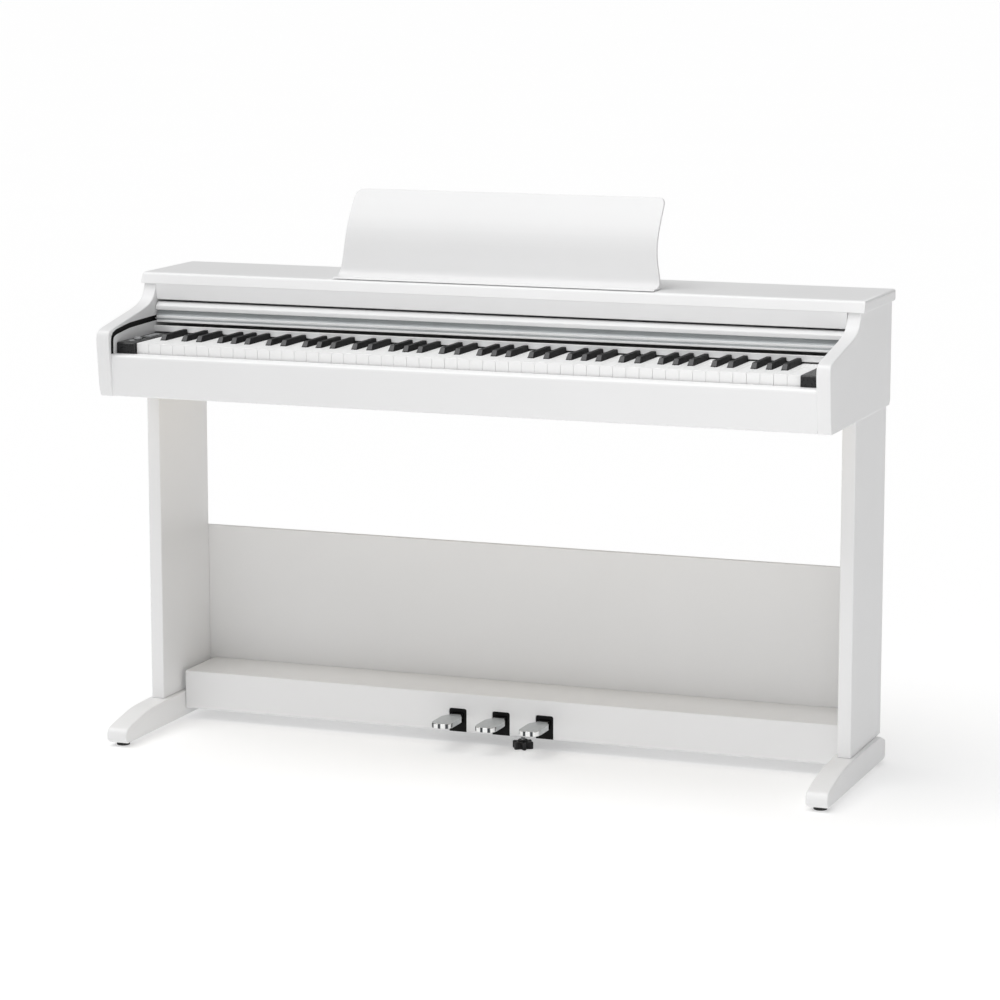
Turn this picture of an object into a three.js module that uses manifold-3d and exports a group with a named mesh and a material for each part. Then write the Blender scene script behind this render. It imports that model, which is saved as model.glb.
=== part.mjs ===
// Compact digital piano on its own stand. Millimetres, +Z up, the player sits at -Y.
import * as THREE from "three";
import { mergeVertices } from "three/addons/utils/BufferGeometryUtils.js";
import Module from "manifold-3d";

const wasm = await Module();
wasm.setup();

// ---- Driving dimensions ----
const depthTotal = 405; // front of the arms to the back of the top board
const front = -depthTotal / 2; // row Y of the front plane; "d" below is depth behind it
const gap = 0.35; // air between neighbouring pieces
const boardHalf = 680; // top board
const boardTop = 850;
const boardThick = 20.5;
const boardFrontD = 192;
const armOuter = 675; // side panels, called arms where they reach forwards
const armThick = 25;
const armInner = armOuter - armThick;
const caseHalf = armInner - 0.5; // pieces fitted between the side panels
const caseTop = boardTop - boardThick - gap;
const caseBottom = 645;
const bedThick = 16;
const keyBaseTop = caseBottom + bedThick;
const slipTop = 721;
const keyFrontD = 38;
const keyTop = 740;
const keyDeep = 21;
const keyPitch = 23.6;
const keySlit = 1.0; // air between two white keys
const whiteCount = 52;
const keysHalf = (whiteCount * keyPitch) / 2;
const keyBackD = 190; // where the wide part of a key ends
const keyTailD = 262;
const keyPivotD = 268;
const keyPivotZ = 723;
const sharpWidth = 10.6;
const sharpTop = 750;
const sharpFrontD = 90;
const sharpBackD = 182;
const sharpBar = [keyTop - 10, keyTop - 4]; // heights of the hidden bar and tails of the sharps
const cheekFrontD = 31;
const nameStripD = 184.5;
const legInner = 645.4;
const legThick = 25;
const legFrontD = 189;
const legBackD = 393;
const footInner = 637.5;
const footThick = 40;
const footTop = 55;
const footUnder = 7;
const glideRadius = 12;
const glideD = [44, 380];
const boxFrontD = 264; // pedal box
const boxWall = 15;
const boxTop = 94;
const boxUnder = 22;
const backBoardTop = 350;
const backBoardThick = 10;
const pedalX = [-88, -4, 80];
const pedalNames = ["soft_pedal", "sostenuto_pedal", "sustain_pedal"];
const pedalFrontD = 172;
const pedalShoulderD = 235;
const pedalNeckD = 250;
const pedalTop = 57;
const pedalThick = 9;
const pedalWide = 39;
const pedalNeck = 20;
const shaftD = 330;
const shaftZ = 50;
const shaftRadius = 4;
const windowWide = 34;
const windowTop = 66;
const boltX = 36;
const boltD = boxFrontD + boxWall / 2;
const boltRadius = 4;
const knobHigh = 14;
const knobRadius = 20;
const speakerX = 440;
const speakerD = 338;
const restHalf = 302; // music rest
const restHingeD = 242.5;
const restHingeZ = 852.9;
const grooveDeep = 5;
const grooveWide = 10.6;
const slideSlope = 0.0515; // fall of the fallboard's travel per mm forwards

// ---- Materials, one per part ----
const finishes = {
  satinWhite: [0xf1f1f2, 0.42, 0],
  innerWhite: [0xdfe0e1, 0.6, 0],
  ivory: [0xf6f6f4, 0.3, 0],
  ebony: [0x2a2a2c, 0.5, 0],
  cheekBlack: [0x1b1b1d, 0.55, 0],
  silver: [0xa9acae, 0.35, 0.9],
  chrome: [0xc9cccd, 0.22, 1],
  steel: [0x9a9ca0, 0.4, 1],
  felt: [0x1a1718, 0.95, 0],
  greyPlastic: [0xb9bcbe, 0.5, 0],
  rubber: [0x141414, 0.8, 0],
  board: [0x1f5a3c, 0.6, 0],
  chipboard: [0xb59a72, 0.85, 0],
  cone: [0x202022, 0.85, 0],
};

// ---- Solids ----
function solid(geometry) {
  const bare = new THREE.BufferGeometry();
  const flat = geometry.index ? geometry.toNonIndexed() : geometry;
  bare.setAttribute("position", flat.getAttribute("position"));
  const merged = mergeVertices(bare, 1e-4);
  return new wasm.Manifold(
    new wasm.Mesh({
      numProp: 3,
      vertProperties: new Float32Array(merged.attributes.position.array),
      triVerts: new Uint32Array(merged.index.array),
    }),
  );
}

function union(first, ...rest) {
  return rest.reduce((whole, piece) => whole.add(piece), first);
}

function minus(first, ...cuts) {
  return cuts.reduce((whole, cut) => whole.subtract(cut), first);
}

// A block between two corners; y values are depths behind the front plane.
function block(x0, x1, d0, d1, z0, z1) {
  const g = new THREE.BoxGeometry(x1 - x0, d1 - d0, z1 - z0);
  g.translate((x0 + x1) / 2, front + (d0 + d1) / 2, (z0 + z1) / 2);
  return solid(g);
}

function outline(points) {
  return new THREE.Shape(points.map(([a, b]) => new THREE.Vector2(a, b)));
}

function extruded(points, length) {
  const shape = outline(points);
  return new THREE.ExtrudeGeometry(shape, { depth: length, bevelEnabled: false, curveSegments: 6 });
}

// A side profile of (depth, height) points swept from x0 to x1.
function sweepX(points, x0, x1) {
  const g = extruded(points, x1 - x0);
  const m = new THREE.Matrix4().makeBasis(
    new THREE.Vector3(0, 1, 0),
    new THREE.Vector3(0, 0, 1),
    new THREE.Vector3(1, 0, 0),
  );
  g.applyMatrix4(m);
  g.translate(x0, front, 0);
  return solid(g);
}

// A front view outline of (x, height) points swept from depth d0 to d1.
function sweepY(points, d0, d1) {
  const g = extruded(points, d1 - d0);
  g.rotateX(Math.PI / 2);
  g.translate(0, front + d1, 0);
  return solid(g);
}

// A plan outline of (x, depth) points swept from z0 to z1.
function sweepZ(points, z0, z1) {
  const g = extruded(points, z1 - z0);
  g.translate(0, front, z0);
  return solid(g);
}

function rod(radius, x0, x1, d, z, sides = 20) {
  const g = new THREE.CylinderGeometry(radius, radius, x1 - x0, sides);
  g.rotateZ(Math.PI / 2);
  g.translate((x0 + x1) / 2, front + d, z);
  return solid(g);
}

function post(radius, x, d, z0, z1, sides = 20, topRadius = radius) {
  const g = new THREE.CylinderGeometry(topRadius, radius, z1 - z0, sides);
  g.rotateX(Math.PI / 2);
  g.translate(x, front + d, (z0 + z1) / 2);
  return solid(g);
}

// Rounds the corners of an outline: each point is [a, b] or [a, b, radius].
function rounded(points, steps = 4) {
  const out = [];
  const n = points.length;
  for (let i = 0; i < n; i++) {
    const [a, b, r] = points[i];
    if (!r) {
      out.push([a, b]);
      continue;
    }
    const p = new THREE.Vector2(a, b);
    const before = new THREE.Vector2(...points[(i + n - 1) % n].slice(0, 2)).sub(p);
    const after = new THREE.Vector2(...points[(i + 1) % n].slice(0, 2)).sub(p);
    const reach = Math.min(r, before.length() * 0.49, after.length() * 0.49);
    const start = p.clone().addScaledVector(before.normalize(), reach);
    const end = p.clone().addScaledVector(after.normalize(), reach);
    const curve = new THREE.QuadraticBezierCurve(start, p, end);
    curve.getPoints(steps).forEach((v) => out.push([v.x, v.y]));
  }
  return out;
}

function mirrored(points) {
  return points.map(([a, b, r]) => [-a, b, r]).reverse();
}

// A band of constant width along a line of (depth, height) points.
function band(points, width) {
  const line = points.map(([a, b]) => new THREE.Vector2(a, b));
  const left = [];
  const right = [];
  line.forEach((p, i) => {
    const ahead = line[Math.min(i + 1, line.length - 1)];
    const behind = line[Math.max(i - 1, 0)];
    const side = ahead.clone().sub(behind).normalize().rotateAround(new THREE.Vector2(), Math.PI / 2);
    left.push([p.x + (side.x * width) / 2, p.y + (side.y * width) / 2]);
    right.push([p.x - (side.x * width) / 2, p.y - (side.y * width) / 2]);
  });
  return [...right, ...left.reverse()];
}

const root = new THREE.Group();
root.name = "digital_piano";

function add(name, body, finish) {
  const made = body.getMesh();
  const g = new THREE.BufferGeometry();
  const count = made.numProp;
  const xyz = new Float32Array(made.numVert * 3);
  for (let i = 0; i < made.numVert; i++) {
    xyz.set(made.vertProperties.subarray(i * count, i * count + 3), i * 3);
  }
  g.setAttribute("position", new THREE.BufferAttribute(xyz, 3));
  g.setIndex(new THREE.BufferAttribute(made.triVerts, 1));
  g.computeVertexNormals();
  const [color, roughness, metalness] = finishes[finish];
  const mesh = new THREE.Mesh(g, new THREE.MeshStandardMaterial({ color, roughness, metalness }));
  mesh.name = name;
  root.add(mesh);
}

// ---- Case ----
function topBoard() {
  const profile = rounded([
    [boardFrontD, boardTop - boardThick, 3],
    [depthTotal, boardTop - boardThick, 2],
    [depthTotal, boardTop, 4],
    [boardFrontD + 3, boardTop, 7],
  ]);
  add("top_board", sweepX(profile, -boardHalf, boardHalf), "satinWhite");
}

const armProfile = rounded([
  [13.6, caseBottom, 5],
  [395, caseBottom, 2],
  [402, caseBottom + 9, 2],
  [402, caseTop],
  [196, caseTop],
  [192, 819, 4],
  [182, 804, 6],
  [164, 795, 8],
  [137, 788.5, 8],
  [89, 780, 10],
  [56, 774, 10],
  [24, 768.5, 9],
  [3, 762.5, 12],
  [-0.47, 748, 12],
  [2.8, 717, 8],
  [7.8, 665, 6],
]);

// The fallboard's guide pins run here: up from the front, then back along the gentle slope.
const groovePath = [
  [14, 722],
  [14, 741],
  [15.6, 749.6],
  [21, 756.4],
  [34, 759.4],
  [66, 762.6],
  [110, 765],
  [150, 766],
  [187, 766.8],
  [376, 777.2],
];

function sidePanels() {
  for (const side of [-1, 1]) {
    const x0 = side < 0 ? -armOuter : armInner;
    const panel = sweepX(armProfile, x0, x0 + armThick);
    const c0 = side < 0 ? -armInner - grooveDeep : armInner - 1;
    const groove = sweepX(band(groovePath, grooveWide), c0, c0 + grooveDeep + 1);
    const name = side < 0 ? "left_side_panel" : "right_side_panel";
    add(name, minus(panel, groove), "satinWhite");
  }
}

function caseParts() {
  const rail = rounded([
    [193, 801, 3],
    [209, 801, 2],
    [209, caseTop],
    [193, caseTop],
  ]);
  add("upper_front_rail", sweepX(rail, -caseHalf, caseHalf), "satinWhite");

  const slip = rounded([
    [13, caseBottom + 0.6, 5],
    [26, caseBottom + 0.6],
    [26, 705],
    [36, 705],
    [36, slipTop, 1.5],
    [9.4, slipTop, 8],
    [9.4, 700, 4],
  ]);
  add("key_slip", sweepX(slip, -caseHalf, caseHalf), "satinWhite");

  const bed = block(-caseHalf, caseHalf, 26 + gap, 391, caseBottom, keyBaseTop);
  const holes = [-speakerX, speakerX].map((x) => post(33, x, speakerD, caseBottom - 1, keyBaseTop + 1, 28));
  add("key_bed", minus(bed, ...holes), "chipboard");

  const back = block(-caseHalf, caseHalf, 392, 400, caseBottom + 12, caseTop);
  const inlet = block(-480, -380, 391, 401, 680, 712);
  add("cabinet_back_panel", minus(back, inlet), "innerWhite");

  const strip = rounded([
    [nameStripD, 742.9, 0.8],
    [191, 742.9],
    [191, 754, 1],
    [nameStripD + 1.5, 754, 1.5],
  ]);
  add("name_strip", sweepX(strip, -caseHalf, caseHalf), "innerWhite");
  const felt = block(-keysHalf, keysHalf, nameStripD + 0.6, 190.6, keyTop + 1, 742.5);
  add("key_felt", felt, "felt");
}

function cheekBlocks() {
  const inner = keysHalf + 1.2;
  const plan = rounded([
    [inner, keyFrontD, 1.5],
    [caseHalf, keyFrontD],
    [caseHalf, 184 - gap],
    [inner, 184 - gap],
  ]);
  const nosePlan = rounded([
    [inner, cheekFrontD, 1.5],
    [caseHalf, cheekFrontD],
    [caseHalf, keyFrontD + 5],
    [inner, keyFrontD + 5],
  ]);
  const nose = sweepZ(nosePlan, slipTop + gap, 741);
  const cut = rounded([
    [cheekFrontD - 1, 738],
    [cheekFrontD + 3, 742],
    [cheekFrontD - 1, 742],
  ]);
  const body = union(sweepZ(plan, keyBaseTop + gap, 741), nose);
  const right = minus(body, sweepX(cut, inner - 1, caseHalf + 1));
  add("right_cheek_block", right, "cheekBlack");
  const left = minus(
    body.mirror([1, 0, 0]),
    sweepX(cut, -caseHalf - 1, -inner + 1),
    ...controlWells(),
  );
  add("left_cheek_block", left, "cheekBlack");
}

// ---- Controls on the left cheek block ----
const controlX = -632;
const powerD = 56;
const powerRadius = 5;
const sliderD = [76, 110];
const sliderWide = 4;
const buttonD = [124, 140, 156];
const buttonNames = ["sound_button", "metronome_button", "play_button"];
const buttonSize = [13, 8];
const wellFloor = 733;
const controlGap = 0.4;

function controlWells() {
  const wells = [post(powerRadius + controlGap, controlX, powerD, wellFloor, 742, 20)];
  const s = sliderWide / 2 + controlGap;
  wells.push(block(controlX - s, controlX + s, sliderD[0], sliderD[1], wellFloor, 742));
  const w = buttonSize[0] / 2 + controlGap;
  const h = buttonSize[1] / 2 + controlGap;
  for (const d of buttonD) {
    wells.push(block(controlX - w, controlX + w, d - h, d + h, wellFloor, 742));
  }
  return wells;
}

function controls() {
  const dish = post(2.6, controlX, powerD, 742.1, 744, 16, 4);
  const power = post(powerRadius, controlX, powerD, wellFloor + 3, 742.6, 24);
  add("power_button", minus(power, dish), "greyPlastic");

  const stem = block(controlX - 2, controlX + 2, sliderD[0] + 1, sliderD[0] + 9, 734, 742);
  const cap = rounded([
    [sliderD[0] + 0.5, 741.5],
    [sliderD[0] + 9.5, 741.5],
    [sliderD[0] + 8.5, 745.5, 1],
    [sliderD[0] + 1.5, 745.5, 1],
  ]);
  const knob = sweepX(cap, controlX - 5.5, controlX + 5.5);
  add("volume_slider", union(stem, knob), "greyPlastic");

  buttonNames.forEach((name, i) => {
    const [w, h] = buttonSize;
    const d = buttonD[i];
    const shape = rounded([
      [d - h / 2, wellFloor + 3],
      [d + h / 2, wellFloor + 3],
      [d + h / 2, 742.8, 1],
      [d - h / 2, 742.8, 1],
    ]);
    add(name, sweepX(shape, controlX - w / 2, controlX + w / 2), "greyPlastic");
  });
}

// ---- Fallboard ----
function fallboard() {
  const half = caseHalf - 1;
  const profile = [
    [193, 759.8],
    [197, 759.4],
    [205, 762],
    [210, 768],
    [372, 773.4],
    [372, 781.4],
    [204, 785.4],
    [204, 797],
    [198.6, 797],
    [196, 796],
    [188.8, 789.8],
    [188.2, 788.6],
    [188.2, 783.2],
    [189, 782.4],
    [201.1, 782.4],
    [201.1, 779.3],
    [193, 769.3],
  ];
  const pins = [];
  for (const side of [-1, 1]) {
    const x0 = side * (half - 4);
    const x1 = side * (armInner + grooveDeep - 1.2);
    const ends = [Math.min(x0, x1), Math.max(x0, x1)];
    pins.push(rod(1.6, ends[0], ends[1], 196, 766.2, 12));
    pins.push(rod(1.6, ends[0], ends[1], 366, 775.4, 12));
  }
  add("fallboard", union(sweepX(profile, -half, half), ...pins), "satinWhite");

  const strip = [
    [190.4, 760.4],
    [191, 759.8],
    [192.6, 760.2],
    [192.6, 769.6],
    [200.7, 779.6],
    [200.7, 782],
    [198.9, 782],
    [198.7, 780.6],
    [191.4, 771.4],
    [190.4, 770.2],
  ];
  add("fallboard_strip", sweepX(strip, -half, half), "silver");
}

// ---- Keys ----
const sharpAfter = [0, 1, 3, 4, 5]; // C, D, F, G and A carry a sharp above them
const sharpShift = [-2.6, 2.6, -3.2, 0, 3.2]; // sharps stand off the joint between two whites
const whiteLetters = ["C", "D", "E", "F", "G", "A", "B"];

// White key number 0 is the lowest A; its place in the octave counts from C.
function placeOf(i) {
  return (i + 5) % 7;
}

function whiteX(i) {
  return -keysHalf + i * keyPitch;
}

function sharpX(i) {
  const slot = sharpAfter.indexOf(placeOf(i));
  if (slot < 0 || i === whiteCount - 1) {
    return null;
  }
  return whiteX(i + 1) + sharpShift[slot];
}

// A white key: full width in front, narrow between the sharps behind.
function whiteKey(i) {
  const x0 = whiteX(i) + keySlit / 2;
  const x1 = whiteX(i + 1) - keySlit / 2;
  const room = sharpWidth / 2 + 0.9;
  const left = i > 0 ? sharpX(i - 1) : null;
  const right = sharpX(i);
  const a = left === null ? x0 : left + room;
  const b = right === null ? x1 : right - room;
  const notch = sharpFrontD - 1.5;
  const plan = [
    [x0, keyFrontD],
    [x1, keyFrontD],
    [x1, right === null ? keyBackD : notch],
  ];
  if (right !== null) {
    plan.push([b, notch], [b, keyBackD]);
  }
  if (left !== null) {
    plan.push([a, keyBackD], [a, notch], [x0, notch]);
  } else {
    plan.push([x0, keyBackD]);
  }
  const tail = block(a, b, keyBackD - 2, keyTailD, keyTop - keyDeep, keyTop - keyDeep + 8);
  return union(sweepZ(plan, keyTop - keyDeep, keyTop), tail);
}

// A sharp: sloped front and sides, body between the whites, flat tail above theirs.
function sharpKey(i) {
  const x = sharpX(i);
  const w = sharpWidth / 2;
  const under = keyTop - 12;
  const side = [
    [sharpFrontD, under],
    [sharpBackD + 12, under],
    [sharpBackD + 12, keyTop],
    [sharpBackD, keyTop],
    [sharpBackD, sharpTop],
    [sharpFrontD + 9, sharpTop],
    [sharpFrontD + 6.5, sharpTop - 1],
    [sharpFrontD, keyTop + 1],
  ];
  const taper = 1.1;
  const end = [
    [x - w, under - 1],
    [x + w, under - 1],
    [x + w, keyTop + 1],
    [x + w - taper, sharpTop + 1],
    [x - w + taper, sharpTop + 1],
    [x - w, keyTop + 1],
  ];
  const body = sweepX(side, x - w, x + w).intersect(sweepY(end, sharpFrontD - 1, sharpBackD + 13));
  const tail = block(x - w, x + w, sharpBackD + 10, keyTailD, ...sharpBar);
  return union(body, tail);
}

// A run of keys that shares one body: their tails meet in a bar.
function comb(keys, barZ0, barZ1) {
  const boxes = keys.map((k) => k.boundingBox());
  const x0 = Math.min(...boxes.map((b) => b.min[0]));
  const x1 = Math.max(...boxes.map((b) => b.max[0]));
  const bar = block(x0, x1, keyTailD - 22, keyTailD, barZ0, barZ1);
  return union(bar, ...keys);
}

function keyboard() {
  const middle = [23, 30]; // C4 up to B4
  const lowWhites = [];
  const lowSharps = [];
  const highWhites = [];
  const highSharps = [];
  for (let i = 0; i < whiteCount; i++) {
    const inMiddle = i >= middle[0] && i < middle[1];
    const low = i < middle[0];
    const hasSharp = sharpX(i) !== null;
    if (inMiddle) {
      const letter = whiteLetters[placeOf(i)];
      add("key_" + letter + "4", whiteKey(i), "ivory");
      if (hasSharp) {
        add("key_" + letter + "s4", sharpKey(i), "ebony");
      }
      continue;
    }
    (low ? lowWhites : highWhites).push(whiteKey(i));
    if (hasSharp) {
      (low ? lowSharps : highSharps).push(sharpKey(i));
    }
  }
  const whiteBar = [keyTop - keyDeep, keyTop - keyDeep + 8];
  add("bass_white_keys", comb(lowWhites, ...whiteBar), "ivory");
  add("bass_black_keys", comb(lowSharps, ...sharpBar), "ebony");
  add("treble_white_keys", comb(highWhites, ...whiteBar), "ivory");
  add("treble_black_keys", comb(highSharps, ...sharpBar), "ebony");
}

function keyFrame() {
  const half = keysHalf - 2;
  const base = block(-half, half, 44, 290, keyBaseTop + gap, keyBaseTop + 3);
  const frontRail = block(-half, half, 52, 66, keyBaseTop + gap, 706);
  const middleRail = block(-half, half, 180, 200, keyBaseTop + gap, 706);
  const rearRail = block(-half, half, keyTailD + 2, keyTailD + 22, keyBaseTop + gap, 736);
  add("key_frame", union(base, frontRail, middleRail, rearRail), "steel");
}

// ---- Inside the case ----
function speakers() {
  const rim = keyBaseTop + gap;
  const profile = [
    [0, rim + 7],
    [8, rim + 8],
    [30, rim],
    [38, rim],
    [38, rim + 3],
    [31, rim + 3],
    [17, rim + 14],
    [17, rim + 28],
    [0, rim + 28],
  ].map(([r, z]) => new THREE.Vector2(r, z));
  for (const x of [-speakerX, speakerX]) {
    const g = new THREE.LatheGeometry(profile, 24);
    g.rotateX(Math.PI / 2);
    g.translate(x, front + speakerD, 0);
    add(x < 0 ? "left_speaker" : "right_speaker", solid(g), "cone");
  }
}

function electronics() {
  const plate = block(-90, 90, 306, 378, keyBaseTop + 6, keyBaseTop + 7.6);
  const feet = [-84, 84].flatMap((x) => [312, 372].map((d) => post(3, x, d, keyBaseTop + gap, keyBaseTop + 7, 12)));
  const chip = block(-20, 5, 330, 355, keyBaseTop + 7, keyBaseTop + 10);
  add("main_board", union(plate, ...feet, chip), "board");

  const plateBack = block(-478, -382, 392.6, 399.6, 682, 710);
  const holes = [-462, -440].map((x) => {
    const g = new THREE.CylinderGeometry(3.2, 3.2, 20, 16);
    g.translate(x, front + 395, 696);
    return solid(g);
  });
  const socket = block(-412, -396, 390, 401, 690, 702);
  add("socket_panel", minus(plateBack, ...holes, socket), "cheekBlack");
}

// ---- Stand ----
function stand() {
  const leg = rounded(
    [
      [legInner, legFrontD, 2.5],
      [legInner + legThick, legFrontD, 2.5],
      [legInner + legThick, legBackD, 2],
      [legInner, legBackD, 2],
    ],
    2,
  );
  const foot = rounded([
    [24, footUnder, 9],
    [398, footUnder, 6],
    [depthTotal, 12, 4],
    [depthTotal, 36, 6],
    [402, 42, 6],
    [368, footTop, 10],
    [175, footTop, 30],
    [115, 53, 16],
    [42, 39.5, 14],
    [22, 34, 9],
    [16.6, 25, 8],
    [17.4, 12, 6],
  ]);
  const under = 2;
  for (const side of [-1, 1]) {
    const label = side < 0 ? "left" : "right";
    const legPlan = side < 0 ? mirrored(leg) : leg;
    add(label + "_leg", sweepZ(legPlan, footTop + gap, caseBottom - gap), "satinWhite");
    const x0 = side < 0 ? -footInner - footThick : footInner;
    const x = x0 + footThick / 2;
    const wells = glideD.map((d) => post(glideRadius + 0.3, x, d, footUnder - 3, footUnder + under, 20));
    add(label + "_foot", minus(sweepX(foot, x0, x0 + footThick), ...wells), "satinWhite");
    glideD.forEach((d, i) => {
      const where = i === 0 ? "front" : "back";
      const glide = union(
        post(glideRadius - 1, x, d, 0, 1.5, 20, glideRadius),
        post(glideRadius, x, d, 1.5, footUnder + under - gap, 20),
      );
      add(label + "_" + where + "_glide", glide, "rubber");
    });
  }
  const boardD = legBackD + gap;
  const back = block(-660, 660, boardD, boardD + backBoardThick, 57, backBoardTop);
  const lower = block(-footInner + 2, footInner - 2, boardD, boardD + backBoardThick, boxUnder + 2, 60);
  add("lower_back_board", union(back, lower), "innerWhite");
}

// ---- Pedal box ----
function pedalBox() {
  const half = footInner - 0.8;
  const d1 = legBackD - gap;
  const wallBack = boxFrontD + boxWall;
  const lid = block(-half, half, boxFrontD, d1, boxTop - boxWall, boxTop);
  const wall = sweepX(
    rounded([
      [boxFrontD, boxUnder, 3],
      [wallBack, boxUnder, 1],
      [wallBack, boxTop - 1],
      [boxFrontD, boxTop - 1],
    ]),
    -half,
    half,
  );
  const rear = block(-half, half, d1 - boxWall, d1, boxUnder, boxTop - 1);
  const w = windowWide / 2;
  const slots = pedalX.map((x) =>
    sweepY(
      rounded([
        [x - w, boxUnder - 5],
        [x + w, boxUnder - 5],
        [x + w, windowTop, 4],
        [x - w, windowTop, 4],
      ]),
      boxFrontD - 5,
      wallBack + 5,
    ),
  );
  const boltHole = post(boltRadius + 0.4, boltX, boltD, boxUnder - 1, 66, 20);
  add("pedal_box", minus(union(lid, wall, rear), ...slots, boltHole), "satinWhite");
}

function pedalWindow() {
  const w = windowWide / 2;
  const d0 = boxFrontD + 1;
  const d1 = boxFrontD + boxWall + 3;
  const plateD = boxFrontD + boxWall + gap;
  const plate = block(pedalX[0] - 30, pedalX[2] + 30, plateD, d1, 26, 77);
  const inserts = pedalX.map((x) =>
    sweepY(
      rounded([
        [x - w + gap, boxUnder + gap],
        [x + w - gap, boxUnder + gap],
        [x + w - gap, windowTop - gap, 4],
        [x - w + gap, windowTop - gap, 4],
      ]),
      d0,
      d1,
    ),
  );
  const n = pedalNeck / 2 + 1.6;
  const slots = pedalX.map((x) => block(x - n, x + n, d0 - 5, d1 + 5, 40, 58.6));
  const hollows = pedalX.map((x) => block(x - n, x + n, d0 + 3, d1 + 5, boxUnder - 5, 58.6));
  add("pedal_window_trim", minus(union(plate, ...inserts), ...slots, ...hollows), "cheekBlack");
}

function pedals() {
  pedalNames.forEach((name, i) => {
    const x = pedalX[i];
    const w = pedalWide / 2;
    const n = pedalNeck / 2;
    const plan = rounded([
      [x - w, pedalFrontD, 10],
      [x + w, pedalFrontD, 10],
      [x + w, pedalShoulderD, 3],
      [x + n, pedalNeckD, 3],
      [x + n, shaftD + 8, 3],
      [x - n, shaftD + 8, 3],
      [x - n, pedalNeckD, 3],
      [x - w, pedalShoulderD, 3],
    ]);
    const slab = sweepZ(plan, pedalTop - pedalThick, pedalTop);
    const cutTop = sweepX(
      [
        [pedalFrontD - 1, pedalTop - 4],
        [pedalFrontD + 5, pedalTop + 1],
        [pedalFrontD - 1, pedalTop + 1],
      ].reverse(),
      x - w - 1,
      x + w + 1,
    );
    const cutUnder = sweepX(
      [
        [pedalFrontD - 1, pedalTop - pedalThick - 1],
        [pedalFrontD + 5, pedalTop - pedalThick - 1],
        [pedalFrontD - 1, pedalTop - pedalThick + 4],
      ],
      x - w - 1,
      x + w + 1,
    );
    const boss = rod(8, x - n, x + n, shaftD, shaftZ, 20);
    const bore = rod(shaftRadius + 0.05, x - n - 1, x + n + 1, shaftD, shaftZ, 24);
    const shaped = minus(union(slab, boss), bore, cutUnder, cutTop);
    add(name, shaped, "chrome");
  });
}

function pedalBracket() {
  const z1 = boxTop - boxWall - gap;
  const plate = block(-132, 124, 306, 360, z1 - 2.5, z1);
  const earX = [-126, -46, 38, 118];
  const ears = earX.map((x) => block(x - 1.5, x + 1.5, shaftD - 9, shaftD + 9, shaftZ - 9, z1 - 1));
  const holes = rod(shaftRadius + 0.3, -140, 140, shaftD, shaftZ, 20);
  add("pedal_bracket", minus(union(plate, ...ears), holes), "steel");
  add("pedal_shaft", rod(shaftRadius, -131, 123, shaftD, shaftZ, 24), "steel");
}

// ---- Support bolt under the pedal box ----
function supportBolt() {
  const lobes = 6;
  const ripple = 3;
  const points = [];
  const steps = lobes * 8;
  for (let i = 0; i < steps; i++) {
    const a = (i / steps) * Math.PI * 2;
    const r = knobRadius - ripple + ripple * Math.cos(a * lobes);
    points.push([boltX + r * Math.cos(a), boltD + r * Math.sin(a)]);
  }
  const lower = sweepZ(points, 0, knobHigh);
  const collar = post(9, boltX, boltD, knobHigh - 1, knobHigh + 3, 20, 6.5);
  const bore = post(boltRadius + 0.35, boltX, boltD, 5, knobHigh + 5, 20);
  add("support_knob", minus(union(lower, collar), bore), "rubber");
  add("support_stem", post(boltRadius, boltX, boltD, 5.4, 54, 20), "steel");
}

// ---- Music rest ----
function musicRest() {
  const thick = 6;
  const z0 = boardTop + 1;
  const face = [
    [201, z0],
    [restHingeD, z0],
    [restHingeD, 870],
    [restHingeD + 0.5, 905],
    [restHingeD + 5, 928],
    [restHingeD + 15, 950],
    [restHingeD + 32, 975],
    [restHingeD + 54.5, 1003.4],
    [restHingeD + 53.6, 1006.4],
    [restHingeD + 50.4, 1006.6],
    [restHingeD + 26.5, 978],
    [restHingeD + 9, 952],
    [restHingeD - 1.2, 929],
    [restHingeD - thick + 0.5, 905],
    [restHingeD - thick, 875],
    [restHingeD - thick - 1.4, 865],
    [restHingeD - thick - 5.5, 858],
    [restHingeD - thick - 13, 854.8],
    [204, 853.6],
    [201, 852.6],
  ];
  const body = sweepX(face, -restHalf, restHalf);
  const view = rounded(
    [
      [-restHalf, z0 - 5],
      [restHalf, z0 - 5],
      [restHalf, 906],
      [restHalf - 6, 1007, 16],
      [-restHalf + 6, 1007, 16],
      [-restHalf, 906],
    ],
    5,
  );
  const trimmed = body.intersect(sweepY(view, 195, 310));
  const hingeX = [-230, 230];
  const wells = hingeX.map((x) => rod(3.1, x - 21, x + 21, restHingeD, restHingeZ, 16));
  const slots = hingeX.map((x) => block(x - 21, x + 21, restHingeD - 3.1, restHingeD + 4, 849, restHingeZ));
  add("music_rest", minus(trimmed, ...wells, ...slots), "satinWhite");
  hingeX.forEach((x) => {
    const barrel = rod(2.5, x - 20, x + 20, restHingeD, restHingeZ, 16);
    const leaf = block(x - 20, x + 20, restHingeD, restHingeD + 26, boardTop + gap, boardTop + 1.9);
    add(x < 0 ? "left_rest_hinge" : "right_rest_hinge", union(barrel, leaf), "steel");
  });
}

topBoard();
sidePanels();
caseParts();
cheekBlocks();
controls();
fallboard();
keyboard();
keyFrame();
speakers();
electronics();
stand();
pedalBox();
pedalWindow();
pedals();
pedalBracket();
supportBolt();
musicRest();

export default root;
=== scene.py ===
import math

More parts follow.
